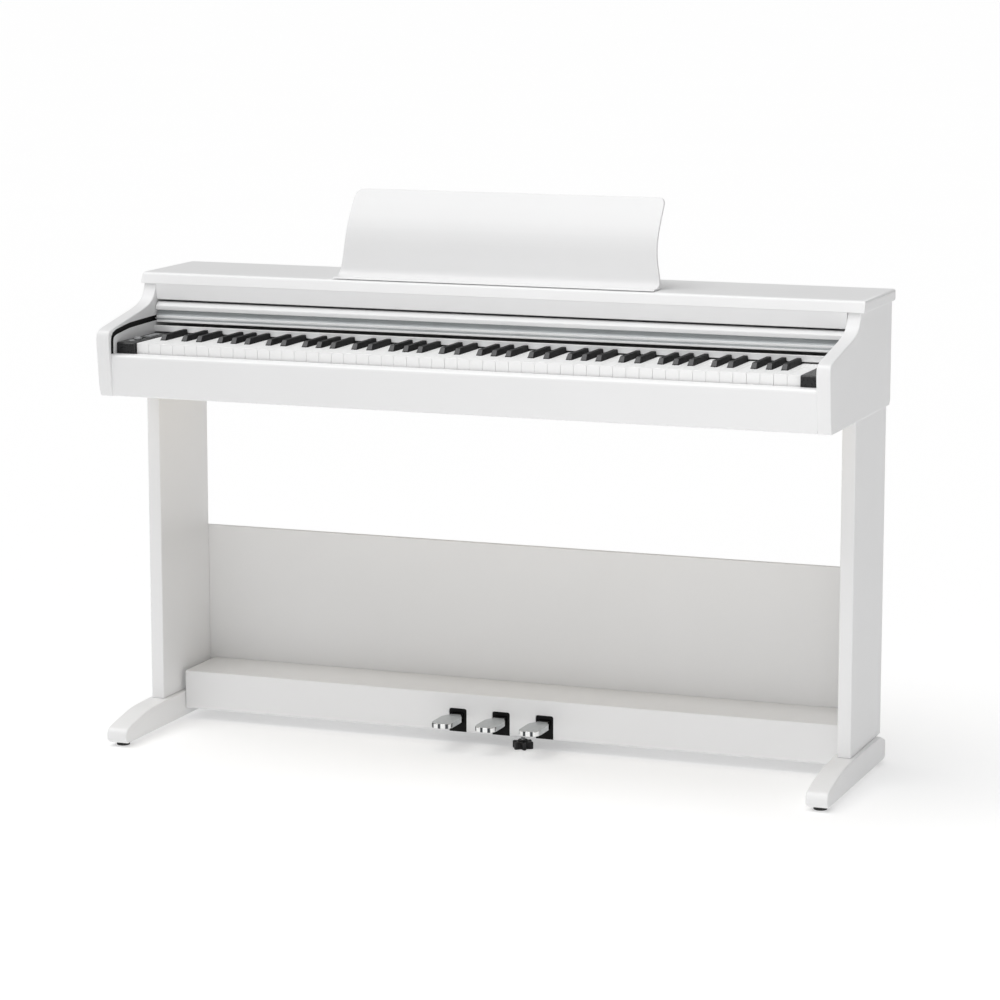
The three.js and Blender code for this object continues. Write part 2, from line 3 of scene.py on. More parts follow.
import bmesh
import bpy
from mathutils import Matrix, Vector


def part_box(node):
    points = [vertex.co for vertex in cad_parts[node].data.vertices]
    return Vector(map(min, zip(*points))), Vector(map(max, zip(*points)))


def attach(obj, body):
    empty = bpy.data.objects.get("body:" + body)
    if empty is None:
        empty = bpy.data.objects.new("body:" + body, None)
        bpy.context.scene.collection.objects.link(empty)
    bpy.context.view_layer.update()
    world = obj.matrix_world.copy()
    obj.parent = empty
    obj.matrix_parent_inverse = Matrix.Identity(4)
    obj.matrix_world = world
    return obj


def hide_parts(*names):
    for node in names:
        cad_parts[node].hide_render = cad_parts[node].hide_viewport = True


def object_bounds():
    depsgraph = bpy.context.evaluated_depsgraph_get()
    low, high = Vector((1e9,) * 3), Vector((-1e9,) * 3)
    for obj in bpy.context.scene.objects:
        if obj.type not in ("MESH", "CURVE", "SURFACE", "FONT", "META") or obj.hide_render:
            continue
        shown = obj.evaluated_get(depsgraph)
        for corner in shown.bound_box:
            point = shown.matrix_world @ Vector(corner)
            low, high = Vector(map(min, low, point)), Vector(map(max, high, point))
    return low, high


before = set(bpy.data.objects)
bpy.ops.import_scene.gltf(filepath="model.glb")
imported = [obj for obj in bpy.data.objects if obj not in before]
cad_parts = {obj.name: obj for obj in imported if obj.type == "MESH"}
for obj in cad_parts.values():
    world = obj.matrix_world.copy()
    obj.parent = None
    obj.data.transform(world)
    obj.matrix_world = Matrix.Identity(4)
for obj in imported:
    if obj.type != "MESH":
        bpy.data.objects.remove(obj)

# Compact white digital piano on a panel stand, in metres, floor at z = 0.
mm = 0.001
cadLow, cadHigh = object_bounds()
frontY = cadLow.y  # the noses of the arms
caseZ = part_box("left_side_panel")[0].z  # underside of the case
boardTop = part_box("top_board")[1].z
bpy.ops.object.select_all(action="DESELECT")
bpy.context.view_layer.objects.active = None


def closePiece():
    if bpy.context.object and bpy.context.object.mode == "EDIT":
        bpy.ops.object.mode_set(mode="OBJECT")


def pickPiece(piece):
    closePiece()
    bpy.ops.object.select_all(action="DESELECT")
    piece.select_set(True)
    bpy.context.view_layer.objects.active = piece


def openPiece(piece):
    pickPiece(piece)
    bpy.ops.object.mode_set(mode="EDIT")


def takeNew(name):
    # the primitive just added gets its name and is opened for shaping
    piece = bpy.context.object
    piece.name = name
    bpy.ops.object.transform_apply(location=True, rotation=True, scale=True)
    openPiece(piece)
    return piece


def startCube(name, low, high):
    closePiece()
    middle = (Vector(low) + Vector(high)) / 2
    bpy.ops.mesh.primitive_cube_add(size=1, location=middle, scale=Vector(high) - Vector(low))
    return takeNew(name)


def startCylinder(name, centre, radius, depth, sides=32, turn=(0, 0, 0)):
    closePiece()
    bpy.ops.mesh.primitive_cylinder_add(vertices=sides, radius=radius, depth=depth, location=centre,
                                        rotation=turn)
    return takeNew(name)


def traceOutline(name, corners):
    # a single vertex is extruded from corner to corner, then the loop is filled
    closePiece()
    bpy.ops.mesh.primitive_plane_add(size=0.001, location=corners[0])
    piece = takeNew(name)
    bpy.ops.mesh.select_mode(type="VERT")
    bpy.ops.mesh.select_all(action="SELECT")
    bpy.ops.mesh.merge(type="CENTER")
    for here, there in zip(corners, corners[1:]):
        extrudePicked(there - here)
    bpy.ops.mesh.select_all(action="SELECT")
    bpy.ops.mesh.edge_face_add()
    return piece


def extrudePicked(way):
    bpy.ops.mesh.extrude_region_move(TRANSFORM_OT_translate={"value": Vector(way)})


def sliceAt(spot, normal):
    bpy.ops.mesh.select_all(action="SELECT")
    bpy.ops.mesh.bisect(plane_co=spot, plane_no=normal)


def pull(way):
    bpy.ops.mesh.select_all(action="SELECT")
    bpy.ops.mesh.extrude_region_move(TRANSFORM_OT_translate={"value": Vector(way)})
    bpy.ops.mesh.select_all(action="SELECT")
    bpy.ops.mesh.normals_make_consistent(inside=False)


def pickEdges(piece, test):
    bpy.ops.mesh.select_mode(type="EDGE")
    bpy.ops.mesh.select_all(action="DESELECT")
    shape = bmesh.from_edit_mesh(piece.data)
    for edge in shape.edges:
        a, b = (v.co for v in edge.verts)
        edge.select_set(bool(test(a, b, edge.calc_face_angle(0.0))))
    bmesh.update_edit_mesh(piece.data)


def pickFaces(piece, test):
    bpy.ops.mesh.select_mode(type="FACE")
    bpy.ops.mesh.select_all(action="DESELECT")
    shape = bmesh.from_edit_mesh(piece.data)
    for face in shape.faces:
        face.select_set(bool(test(face.calc_center_median(), face.normal)))
    bmesh.update_edit_mesh(piece.data)


def roundSharp(piece, width, segments=3, above=28, test=None):
    limit = math.radians(above)
    pickEdges(piece, lambda a, b, angle: angle > limit and (test is None or test(a, b)))
    bpy.ops.mesh.bevel(offset=width * mm, offset_type="OFFSET", segments=segments, profile=0.5,
                       affect="EDGES", clamp_overlap=True)


def movePicked(way):
    bpy.ops.transform.translate(value=Vector(way))


def scalePicked(amount):
    bpy.ops.transform.resize(value=amount)


def cutAway(piece, cutter, operation="DIFFERENCE"):
    # the cutter is used up
    pickPiece(piece)
    bpy.ops.object.modifier_add(type="BOOLEAN")
    step = piece.modifiers[-1]
    step.operation = operation
    step.solver = "EXACT"
    step.object = cutter
    bpy.ops.object.modifier_apply(modifier=step.name)
    pickPiece(cutter)
    bpy.ops.object.delete()
    openPiece(piece)


def joinPieces(main, others):
    pickPiece(main)
    for other in others:
        other.select_set(True)
    bpy.ops.object.join()


def copyPiece(piece, name, way):
    pickPiece(piece)
    bpy.ops.object.duplicate(linked=False)
    made = bpy.context.object
    made.name = name
    bpy.ops.transform.translate(value=Vector(way))
    bpy.ops.object.transform_apply(location=True, rotation=True, scale=True)
    return made


def smoothPiece(piece, angle=35):
    pickPiece(piece)
    bpy.ops.object.shade_smooth_by_angle(angle=math.radians(angle))
    bpy.ops.object.modifier_add(type="WEIGHTED_NORMAL")
    piece.modifiers[-1].keep_sharp = True
    bpy.ops.object.modifier_apply(modifier=piece.modifiers[-1].name)


def giveFinish(piece, material):
    piece.data.materials.clear()
    piece.data.materials.append(material)


def settle(piece, body, material, nodes=(), smooth=35):
    # last step of a piece: shading, finish, and the body it moves with
    smoothPiece(piece, smooth)
    giveFinish(piece, material)
    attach(piece, body)
    if nodes:
        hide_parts(*nodes)


def paintFaces(piece, material, test):
    # a second finish on some faces, added after the first one
    piece.data.materials.append(material)
    place = len(piece.data.materials) - 1
    for face in piece.data.polygons:
        if test(face.center, face.normal):
            face.material_index = place


def sideOutline(points, x, base):
    # points are mm behind the arm noses and mm above the base height
    return [Vector((x, frontY + d * mm, base + h * mm)) for d, h in points]


def planOutline(points, z):
    return [Vector((x * mm, frontY + d * mm, z)) for x, d in points]


def frontOutline(points, y, base):
    return [Vector((x * mm, y, base + h * mm)) for x, h in points]


def runsAcross(a, b):
    return abs(a.x - b.x) > mm


def isLevel(a, b):
    return abs(a.z - b.z) < 0.1 * mm


def softCorners(points, steps=5):
    # points are (a, b) or (a, b, radius): a corner with a radius is turned into a short arc
    made = []
    for i, point in enumerate(points):
        here = Vector(point[:2])
        if len(point) == 2:
            made.append(tuple(here))
            continue
        before = Vector(points[i - 1][:2]) - here
        after = Vector(points[(i + 1) % len(points)][:2]) - here
        reach = min(point[2], before.length * 0.49, after.length * 0.49)
        start = here + before.normalized() * reach
        end = here + after.normalized() * reach
        for step in range(steps + 1):
            t = step / steps
            spot = start * (1 - t) ** 2 + here * 2 * t * (1 - t) + end * t ** 2
            made.append(tuple(spot))
    return made


def newGroup(name, inputs, outputs):
    group = bpy.data.node_groups.new(name, "ShaderNodeTree")
    for label, kind, value in inputs:
        socket = group.interface.new_socket(name=label, in_out="INPUT", socket_type=kind)
        if value is not None:
            socket.default_value = value
    for label, kind in outputs:
        group.interface.new_socket(name=label, in_out="OUTPUT", socket_type=kind)
    return group, group.nodes.new("NodeGroupInput"), group.nodes.new("NodeGroupOutput")


def addNode(tree, kind, **values):
    made = tree.nodes.new(kind)
    for key, value in values.items():
        if key in made.inputs:
            made.inputs[key].default_value = value
        else:
            setattr(made, key, value)
    return made


def mathNode(tree, operation, first, second, clamp=False):
    made = tree.nodes.new("ShaderNodeMath")
    made.operation = operation
    made.use_clamp = clamp
    for socket, value in zip(made.inputs, (first, second)):
        if isinstance(value, (int, float)):
            socket.default_value = value
        else:
            tree.links.new(value, socket)
    return made.outputs[0]


def spread(tree, value, low, high, toLow, toHigh):
    made = tree.nodes.new("ShaderNodeMapRange")
    made.inputs["From Min"].default_value = low
    made.inputs["From Max"].default_value = high
    made.inputs["To Min"].default_value = toLow
    made.inputs["To Max"].default_value = toHigh
    tree.links.new(value, made.inputs["Value"])
    return made.outputs["Result"]


def mixColour(tree, factor, first, second):
    made = tree.nodes.new("ShaderNodeMix")
    made.data_type = "RGBA"
    if isinstance(factor, (int, float)):
        made.inputs[0].default_value = factor
    else:
        tree.links.new(factor, made.inputs[0])
    for socket, value in ((made.inputs[6], first), (made.inputs[7], second)):
        if isinstance(value, (tuple, list)):
            socket.default_value = (*value, 1)
        else:
            tree.links.new(value, socket)
    return made.outputs[2]


def makeGrainGroup():
    # two sizes of soft noise: a fine one for the skin, a broad one for drift of tone
    tree, inward, outward = newGroup(
        "skinGrain",
        [("Place", "NodeSocketVector", None), ("Fine", "NodeSocketFloat", 900.0),
         ("Broad", "NodeSocketFloat", 14.0), ("Stretch", "NodeSocketVector", (1, 1, 1))],
        [("Fine", "NodeSocketFloat"), ("Broad", "NodeSocketFloat"), ("Peel", "NodeSocketFloat")],
    )
    drawn = tree.nodes.new("ShaderNodeVectorMath")
    drawn.operation = "MULTIPLY"
    tree.links.new(inward.outputs["Place"], drawn.inputs[0])
    tree.links.new(inward.outputs["Stretch"], drawn.inputs[1])
    fine = addNode(tree, "ShaderNodeTexNoise", Detail=4.0, Roughness=0.6)
    broad = addNode(tree, "ShaderNodeTexNoise", Detail=3.0, Roughness=0.5)
    peel = addNode(tree, "ShaderNodeTexNoise", Detail=2.0, Roughness=0.5)
    for noise in (fine, broad, peel):
        tree.links.new(drawn.outputs[0], noise.inputs["Vector"])
    tree.links.new(inward.outputs["Fine"], fine.inputs["Scale"])
    tree.links.new(inward.outputs["Broad"], broad.inputs["Scale"])
    tree.links.new(mathNode(tree, "MULTIPLY", inward.outputs["Fine"], 0.16), peel.inputs["Scale"])
    tree.links.new(fine.outputs["Fac"], outward.inputs["Fine"])
    tree.links.new(broad.outputs["Fac"], outward.inputs["Broad"])
    tree.links.new(peel.outputs["Fac"], outward.inputs["Peel"])
    return tree


def makeWearGroup():
    # rubbed arrises: where the smoothed surface turns away from its facets, broken up by noise
    tree, inward, outward = newGroup(
        "edgeWear",
        [("Place", "NodeSocketVector", None), ("Amount", "NodeSocketFloat", 0.3),
         ("Size", "NodeSocketFloat", 60.0)],
        [("Mask", "NodeSocketFloat")],
    )
    shape = tree.nodes.new("ShaderNodeNewGeometry")
    turn = tree.nodes.new("ShaderNodeVectorMath")
    turn.operation = "DOT_PRODUCT"
    tree.links.new(shape.outputs["Normal"], turn.inputs[0])
    tree.links.new(shape.outputs["True Normal"], turn.inputs[1])
    edge = spread(tree, turn.outputs["Value"], 0.9985, 0.992, 0.0, 1.0)
    noise = addNode(tree, "ShaderNodeTexNoise", Detail=5.0, Roughness=0.65)
    tree.links.new(inward.outputs["Place"], noise.inputs["Vector"])
    tree.links.new(inward.outputs["Size"], noise.inputs["Scale"])
    broken = spread(tree, noise.outputs["Fac"], 0.42, 0.68, 0.0, 1.0)
    both = mathNode(tree, "MULTIPLY", edge, broken)
    mask = mathNode(tree, "MULTIPLY", both, inward.outputs["Amount"], clamp=True)
    tree.links.new(mask, outward.inputs["Mask"])
    return tree


def makeDustGroup():
    # a little dust on what faces up
    tree, inward, outward = newGroup(
        "restingDust",
        [("Place", "NodeSocketVector", None), ("Amount", "NodeSocketFloat", 0.1)],
        [("Mask", "NodeSocketFloat")],
    )
    shape = tree.nodes.new("ShaderNodeNewGeometry")
    parts = tree.nodes.new("ShaderNodeSeparateXYZ")
    tree.links.new(shape.outputs["Normal"], parts.inputs[0])
    upward = spread(tree, parts.outputs["Z"], 0.55, 1.0, 0.0, 1.0)
    noise = addNode(tree, "ShaderNodeTexNoise", Scale=38.0, Detail=6.0, Roughness=0.7)
    tree.links.new(inward.outputs["Place"], noise.inputs["Vector"])
    patches = spread(tree, noise.outputs["Fac"], 0.35, 0.75, 0.0, 1.0)
    both = mathNode(tree, "MULTIPLY", upward, patches)
    mask = mathNode(tree, "MULTIPLY", both, inward.outputs["Amount"], clamp=True)
    tree.links.new(mask, outward.inputs["Mask"])
    return tree


grainGroup = makeGrainGroup()
wearGroup = makeWearGroup()
dustGroup = makeDustGroup()


def useGroup(tree, group, place, **values):
    made = tree.nodes.new("ShaderNodeGroup")
    made.node_tree = group
    tree.links.new(place, made.inputs["Place"])
    for key, value in values.items():
        made.inputs[key].default_value = value
    return made


dustColour = (0.64, 0.635, 0.625)
dustRoughens = 0.25
wearRoughens = 0.1


def makeFinish(name, look):
    # one finish: base colour with drift, worn edges and dust, and a skin in roughness and bump; a finish may
    # add painted reflection stripes across x
    material = bpy.data.materials.new(name)
    material.use_nodes = True
    tree = material.node_tree
    tree.nodes.clear()
    out = tree.nodes.new("ShaderNodeOutputMaterial")
    shader = tree.nodes.new("ShaderNodeBsdfPrincipled")
    tree.links.new(shader.outputs["BSDF"], out.inputs["Surface"])
    place = tree.nodes.new("ShaderNodeTexCoord").outputs["Object"]
    grain = useGroup(tree, grainGroup, place, Fine=look["fine"], Broad=look["broad"],
                     Stretch=look.get("stretch", (1, 1, 1)))
    wear = useGroup(tree, wearGroup, place, Amount=look.get("wear", 0.0))
    dust = useGroup(tree, dustGroup, place, Amount=look.get("dust", 0.0))
    drift = spread(tree, grain.outputs["Broad"], 0.3, 0.7, 0.0, 1.0)
    colour = mixColour(tree, drift, look["colour"], look["drift"])
    # painted reflection: dark stripes across x, standing for the dark gaps between reflected softboxes
    if "paintedReflectionDark" in look:
        parts = tree.nodes.new("ShaderNodeSeparateXYZ")
        tree.links.new(place, parts.inputs[0])
        turn = mathNode(tree, "MULTIPLY", parts.outputs["X"], 2 * math.pi / (look["paintedReflectionPitch"] * mm))
        wave = mathNode(tree, "SINE", mathNode(tree, "ADD", turn, look["paintedReflectionShift"]), 0.0)
        colour = mixColour(tree, spread(tree, wave, 0.1, 0.75, 0.0, 1.0), colour, look["paintedReflectionDark"])
    if "speck" in look:
        specks = spread(tree, grain.outputs["Fine"], look["speckFrom"], look["speckFrom"] + 0.08, 0.0, 1.0)
        colour = mixColour(tree, specks, colour, look["speck"])
    colour = mixColour(tree, wear.outputs["Mask"], colour, look["worn"])
    colour = mixColour(tree, dust.outputs["Mask"], colour, dustColour)
    tree.links.new(colour, shader.inputs["Base Color"])
    low, high = look["roughness"]
    rough = spread(tree, grain.outputs["Peel"], 0.3, 0.7, low, high)
    rough = mathNode(tree, "ADD", rough, mathNode(tree, "MULTIPLY", dust.outputs["Mask"], dustRoughens))
    rubbed = mathNode(tree, "MULTIPLY", wear.outputs["Mask"], wearRoughens)
    rough = mathNode(tree, "ADD", rough, rubbed, clamp=True)
    tree.links.new(rough, shader.inputs["Roughness"])
    share = look.get("fineShare", 0.6)
    fine = mathNode(tree, "MULTIPLY", grain.outputs["Fine"], share)
    height = mathNode(tree, "ADD", fine, mathNode(tree, "MULTIPLY", grain.outputs["Peel"], 1 - share))
    bump = addNode(tree, "ShaderNodeBump", Strength=look["bump"], Distance=look.get("bumpDepth", 0.0001))
    tree.links.new(height, bump.inputs["Height"])
    tree.links.new(bump.outputs["Normal"], shader.inputs["Normal"])
    shader.inputs["Metallic"].default_value = look.get("metallic", 0.0)
    shader.inputs["Specular IOR Level"].default_value = look.get("specular", 0.5)
    shader.inputs["Sheen Weight"].default_value = look.get("sheen", 0.0)
    return material


finishes = {
    "satinCase": {
        "colour": (0.86, 0.86, 0.862), "drift": (0.85, 0.85, 0.851), "worn": (0.91, 0.91, 0.91),
        "roughness": (0.36, 0.46), "fine": 1400.0, "broad": 6.0, "bump": 0.22, "bumpDepth": 0.00006,
        "wear": 0.35, "dust": 0.05, "fineShare": 0.45,
    },
    # a lighter copy of satinCase, painted light: it brightens the rail, the fallboard panel, the top board's
    # front and the slip's ledge; the name strip also takes it
    "brightWhiteAndPaintedLight": {
        "colour": (0.94, 0.94, 0.942), "drift": (0.925, 0.925, 0.925), "worn": (0.96, 0.96, 0.96),
        "roughness": (0.38, 0.46), "fine": 1400.0, "broad": 6.0, "bump": 0.1, "bumpDepth": 0.00004,
        "wear": 0.1, "dust": 0.02, "fineShare": 0.45,
    },
    "panelWhite": {
        "colour": (0.872, 0.872, 0.872), "drift": (0.86, 0.86, 0.859), "worn": (0.9, 0.9, 0.9),
        "roughness": (0.48, 0.6), "fine": 1200.0, "broad": 5.0, "bump": 0.25, "bumpDepth": 0.00007,
        "wear": 0.3, "dust": 0.08, "fineShare": 0.5,
    },
    "keyIvory": {
        "colour": (0.975, 0.975, 0.972), "drift": (0.965, 0.965, 0.962), "worn": (0.9, 0.9, 0.885),
        "roughness": (0.34, 0.42), "specular": 0.4, "fine": 1600.0, "broad": 22.0, "bump": 0.03,
        "bumpDepth": 0.00002, "wear": 0.12, "dust": 0.015, "fineShare": 0.4,
    },
    "keyEbony": {
        "colour": (0.013, 0.013, 0.0138), "drift": (0.018, 0.018, 0.0188), "worn": (0.07, 0.07, 0.073),
        "roughness": (0.45, 0.58), "specular": 0.08, "fine": 1500.0, "broad": 30.0, "bump": 0.25,
        "bumpDepth": 0.00006, "wear": 0.5, "dust": 0.04, "fineShare": 0.7,
    },
    # painted highlight: a lighter ebony for the sharps' front slopes, standing for the light they catch
    "ebonyPaintedLitFront": {
        "colour": (0.085, 0.085, 0.087), "drift": (0.095, 0.095, 0.097), "worn": (0.1, 0.1, 0.104),
        "roughness": (0.36, 0.48), "specular": 0.3, "fine": 1500.0, "broad": 30.0, "bump": 0.2,
        "bumpDepth": 0.00005, "wear": 0.4, "dust": 0.03, "fineShare": 0.7,
    },
    "cheekPlastic": {
        "colour": (0.01, 0.01, 0.0105), "drift": (0.014, 0.014, 0.0148), "worn": (0.06, 0.06, 0.062),
        "roughness": (0.24, 0.34), "fine": 1300.0, "broad": 26.0, "bump": 0.15, "bumpDepth": 0.00005,
        "specular": 0.35, "wear": 0.45, "dust": 0.05, "fineShare": 0.75,
    },
    "grooveFlock": {
        "colour": (0.006, 0.006, 0.006), "drift": (0.01, 0.01, 0.01), "worn": (0.02, 0.02, 0.02),
        "roughness": (0.85, 0.95), "fine": 2600.0, "broad": 50.0, "bump": 0.6, "bumpDepth": 0.0002,
        "fineShare": 0.8,
    },
    # silver band, darkened to stand for the dark it reflects: its own silver plus painted reflection
    "railSilverAndPaintedReflection": {
        "colour": (0.56, 0.585, 0.595), "drift": (0.535, 0.56, 0.57), "worn": (0.6, 0.62, 0.62),
        "roughness": (0.36, 0.46), "fine": 900.0, "broad": 5.0, "stretch": (0.02, 1, 1), "bump": 0.06,
        "bumpDepth": 0.00003, "metallic": 0.45, "wear": 0.3,
    },
    # painted highlight: near-white, standing for the softbox's reflection on the strip's bead and lip
    "railPaintedHighlight": {
        "colour": (0.965, 0.97, 0.972), "drift": (0.95, 0.955, 0.957), "worn": (0.9, 0.9, 0.9),
        "roughness": (0.3, 0.4), "fine": 900.0, "broad": 5.0, "stretch": (0.02, 1, 1), "bump": 0.05,
        "bumpDepth": 0.00003, "metallic": 0.0, "wear": 0.2,
    },
    "shadowBlack": {
        "colour": (0.006, 0.006, 0.006), "drift": (0.009, 0.009, 0.009), "worn": (0.03, 0.03, 0.03),
        "roughness": (0.6, 0.75), "fine": 1300.0, "broad": 40.0, "bump": 0.3, "bumpDepth": 0.00008,
        "specular": 0.15, "wear": 0.3, "fineShare": 0.7,
    },
    "pedalSatin": {
        "colour": (0.62, 0.64, 0.645), "drift": (0.57, 0.59, 0.595), "worn": (0.8, 0.81, 0.81),
        "roughness": (0.34, 0.48), "fine": 1100.0, "broad": 60.0, "bump": 0.2, "bumpDepth": 0.00005,
        "metallic": 0.9, "wear": 0.4, "dust": 0.05,
    },
    # chrome, with painted reflection: dark stripes across the pedal noses
    "pedalChromeAndPaintedReflection": {
        "colour": (0.88, 0.89, 0.89), "drift": (0.84, 0.85, 0.85), "worn": (0.7, 0.7, 0.7),
        "paintedReflectionDark": (0.05, 0.055, 0.06), "paintedReflectionPitch": 13.6, "paintedReflectionShift": 4.8, "roughness": (0.05, 0.1),
        "fine": 700.0, "broad": 60.0, "bump": 0.03, "bumpDepth": 0.00003, "metallic": 1.0, "wear": 0.2,
    },
    "zincSteel": {
        "colour": (0.52, 0.53, 0.54), "drift": (0.44, 0.45, 0.45), "worn": (0.7, 0.7, 0.7),
        "roughness": (0.3, 0.5), "fine": 500.0, "broad": 90.0, "bump": 0.15, "bumpDepth": 0.00006,
        "metallic": 1.0, "wear": 0.4, "dust": 0.1,
    },
    "knobPlastic": {
        "colour": (0.008, 0.008, 0.0085), "drift": (0.012, 0.012, 0.0125), "specular": 0.2,
        "worn": (0.09, 0.09, 0.092), "roughness": (0.3, 0.45), "fine": 900.0, "broad": 60.0, "bump": 0.25,
        "bumpDepth": 0.00008, "wear": 0.5, "dust": 0.1,
    },
    "glideRubber": {
        "colour": (0.014, 0.014, 0.014), "drift": (0.02, 0.02, 0.02), "worn": (0.07, 0.07, 0.068),
        "roughness": (0.62, 0.8), "fine": 1200.0, "broad": 80.0, "bump": 0.4, "bumpDepth": 0.0001,
        "wear": 0.5, "dust": 0.15,
    },
    "buttonGrey": {
        "colour": (0.46, 0.47, 0.475), "drift": (0.43, 0.44, 0.445), "worn": (0.6, 0.6, 0.6),
        "roughness": (0.38, 0.5), "fine": 1500.0, "broad": 120.0, "bump": 0.2, "bumpDepth": 0.00005,
        "wear": 0.4,
    },
    "woolFelt": {
        "colour": (0.012, 0.011, 0.011), "drift": (0.02, 0.018, 0.018), "worn": (0.05, 0.045, 0.045),
        "roughness": (0.85, 0.98), "fine": 3200.0, "broad": 120.0, "bump": 0.9, "bumpDepth": 0.0004,
        "sheen": 0.4, "fineShare": 0.8,
    },
    "rawChipboard": {
        "colour": (0.66, 0.6, 0.5), "drift": (0.58, 0.52, 0.42), "worn": (0.72, 0.67, 0.58),
        "speck": (0.4, 0.33, 0.24), "speckFrom": 0.58, "roughness": (0.7, 0.9), "fine": 420.0,
        "broad": 60.0, "bump": 0.6, "bumpDepth": 0.0004, "wear": 0.4, "dust": 0.2,
    },
    "circuitLacquer": {
        "colour": (0.02, 0.13, 0.06), "drift": (0.015, 0.10, 0.05), "worn": (0.3, 0.3, 0.1),
        "speck": (0.42, 0.36, 0.16), "speckFrom": 0.66, "roughness": (0.2, 0.32), "fine": 520.0,
        "broad": 90.0, "bump": 0.2, "bumpDepth": 0.0001, "dust": 0.1,
    },
    "coneFibre": {
        "colour": (0.03, 0.03, 0.03), "drift": (0.045, 0.045, 0.045), "worn": (0.1, 0.1, 0.1),
        "roughness": (0.7, 0.9), "fine": 1400.0, "broad": 90.0, "bump": 0.6, "bumpDepth": 0.0002,
        "dust": 0.2,
    },
}
finish = {name: makeFinish(name, look) for name, look in finishes.items()}
print("finishes ready:", len(finish))


topBoardShape = {"rake": 7.0, "topEdge": 5.0, "backEdge": 5.0, "otherEdge": 0.9}


def makeTopBoard():
    low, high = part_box("top_board")
    piece = startCube("topBoard", low, high)
    pickEdges(piece, lambda a, b, angle: max(a.y, b.y) < low.y + mm and min(a.z, b.z) > high.z - mm)
    movePicked((0, topBoardShape["rake"] * mm, 0))
    roundSharp(piece, topBoardShape["topEdge"], 5, test=lambda a, b: min(a.z, b.z) > high.z - mm)
    roundSharp(piece, topBoardShape["backEdge"], 4, above=50,
               test=lambda a, b: max(a.z, b.z) < low.z + mm and min(a.y, b.y) > high.y - mm)
    roundSharp(piece, topBoardShape["otherEdge"], 3, above=50,
               test=lambda a, b: min(a.z, b.z) < high.z - (topBoardShape["topEdge"] + 1) * mm)
    settle(piece, "cabinet", finish["satinCase"], ["top_board"])
    # painted light: the board's front faces get the lighter copy of the case white, brighter than its top
    paintFaces(piece, finish["brightWhiteAndPaintedLight"], lambda c, n: n.y < -0.6)


armShape = {
    "outline": [
        (13.6, 0, 5), (395, 0, 2), (402, 9, 2), (402, 184.5), (196, 184.5), (192, 174, 4), (182, 159.4, 7),
        (164, 150, 9), (137, 143.6, 9), (89, 135, 12), (56, 129, 12), (24, 123.4, 10), (3, 117.4, 13),
        (-0.4, 103, 13), (2.8, 72, 8), (7.8, 20, 6),
    ],
    "edge": 2.4,
    "groove": [
        (14, 77), (14, 95), (14.4, 101.5), (16.2, 106.6), (20, 110.6), (26, 113), (34, 114.6), (66, 118.4),
        (84, 120.2), (110, 121), (150, 121.8), (187, 122.4), (376, 132.2),
    ],
    "grooveWide": 9.6,
    "grooveDeep": 5.0,
    "cutterOut": 4.0,
}


def makeArmPanels():
    path = [Vector(point) for point in armShape["groove"]]
    upper, lower = [], []
    for i, spot in enumerate(path):
        along = path[min(i + 1, len(path) - 1)] - path[max(i - 1, 0)]
        across = Vector((-along.y, along.x)).normalized() * armShape["grooveWide"] / 2
        upper.append(tuple(spot + across))
        lower.append(tuple(spot - across))
    band = lower + upper[::-1]
    for node in ("left_side_panel", "right_side_panel"):
        low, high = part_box(node)
        inner = high.x if low.x < 0 else low.x
        inward = 1 if low.x < 0 else -1
        outline = sideOutline(softCorners(armShape["outline"], 6), low.x, caseZ)
        panel = traceOutline(node.replace("_side_panel", "SidePanel"), outline)
        pull((high.x - low.x, 0, 0))
        roundSharp(panel, armShape["edge"], 4, above=60, test=lambda a, b: min(a.z, b.z) < high.z - 0.5 * mm)
        out, deep = armShape["cutterOut"] * mm, armShape["grooveDeep"] * mm
        cutter = traceOutline("grooveCutter", sideOutline(band, inner + inward * out, caseZ))
        pull((-inward * (out + deep), 0, 0))
        cutAway(panel, cutter)
        settle(panel, "cabinet", finish["satinCase"], [node])
        paintFaces(panel, finish["grooveFlock"], lambda c, n: linesGroove(c, n, inner, deep))


def linesGroove(spot, normal, inner, deep):
    # the groove's floor lies at its depth, its walls between there and the panel's inner face
    behind = abs(spot.x - inner)
    return abs(behind - deep) < 0.1 * mm or (abs(normal.x) < 0.5 and behind < deep and inGroove(spot))


def inGroove(spot):
    # whether a point lies on or inside the groove's band, seen from the side
    d = (spot.y - frontY) / mm
    h = (spot.z - caseZ) / mm
    return nearestOnLine(d, h, armShape["groove"]) < armShape["grooveWide"] / 2 + 0.4


def nearestOnLine(d, h, line):
    best = 1e9
    for (a, b), (c, e) in zip(line, line[1:]):
        length = (c - a) ** 2 + (e - b) ** 2
        t = max(0, min(1, ((d - a) * (c - a) + (h - b) * (e - b)) / length))
        best = min(best, math.hypot(d - a - t * (c - a), h - b - t * (e - b)))
    return best


railShape = {"edge": 2.0}
slipShape = {
    "outline": [(13, 0.6, 6), (26, 0.6), (26, 60), (36, 60), (36, 76, 1.5), (9.4, 76, 9), (9.4, 55, 6)],
    "edge": 0.8,
}
endFit = 0.45  # rails run up to the arms
stripShape = {"edge": 0.8, "feltEdge": 0.4}


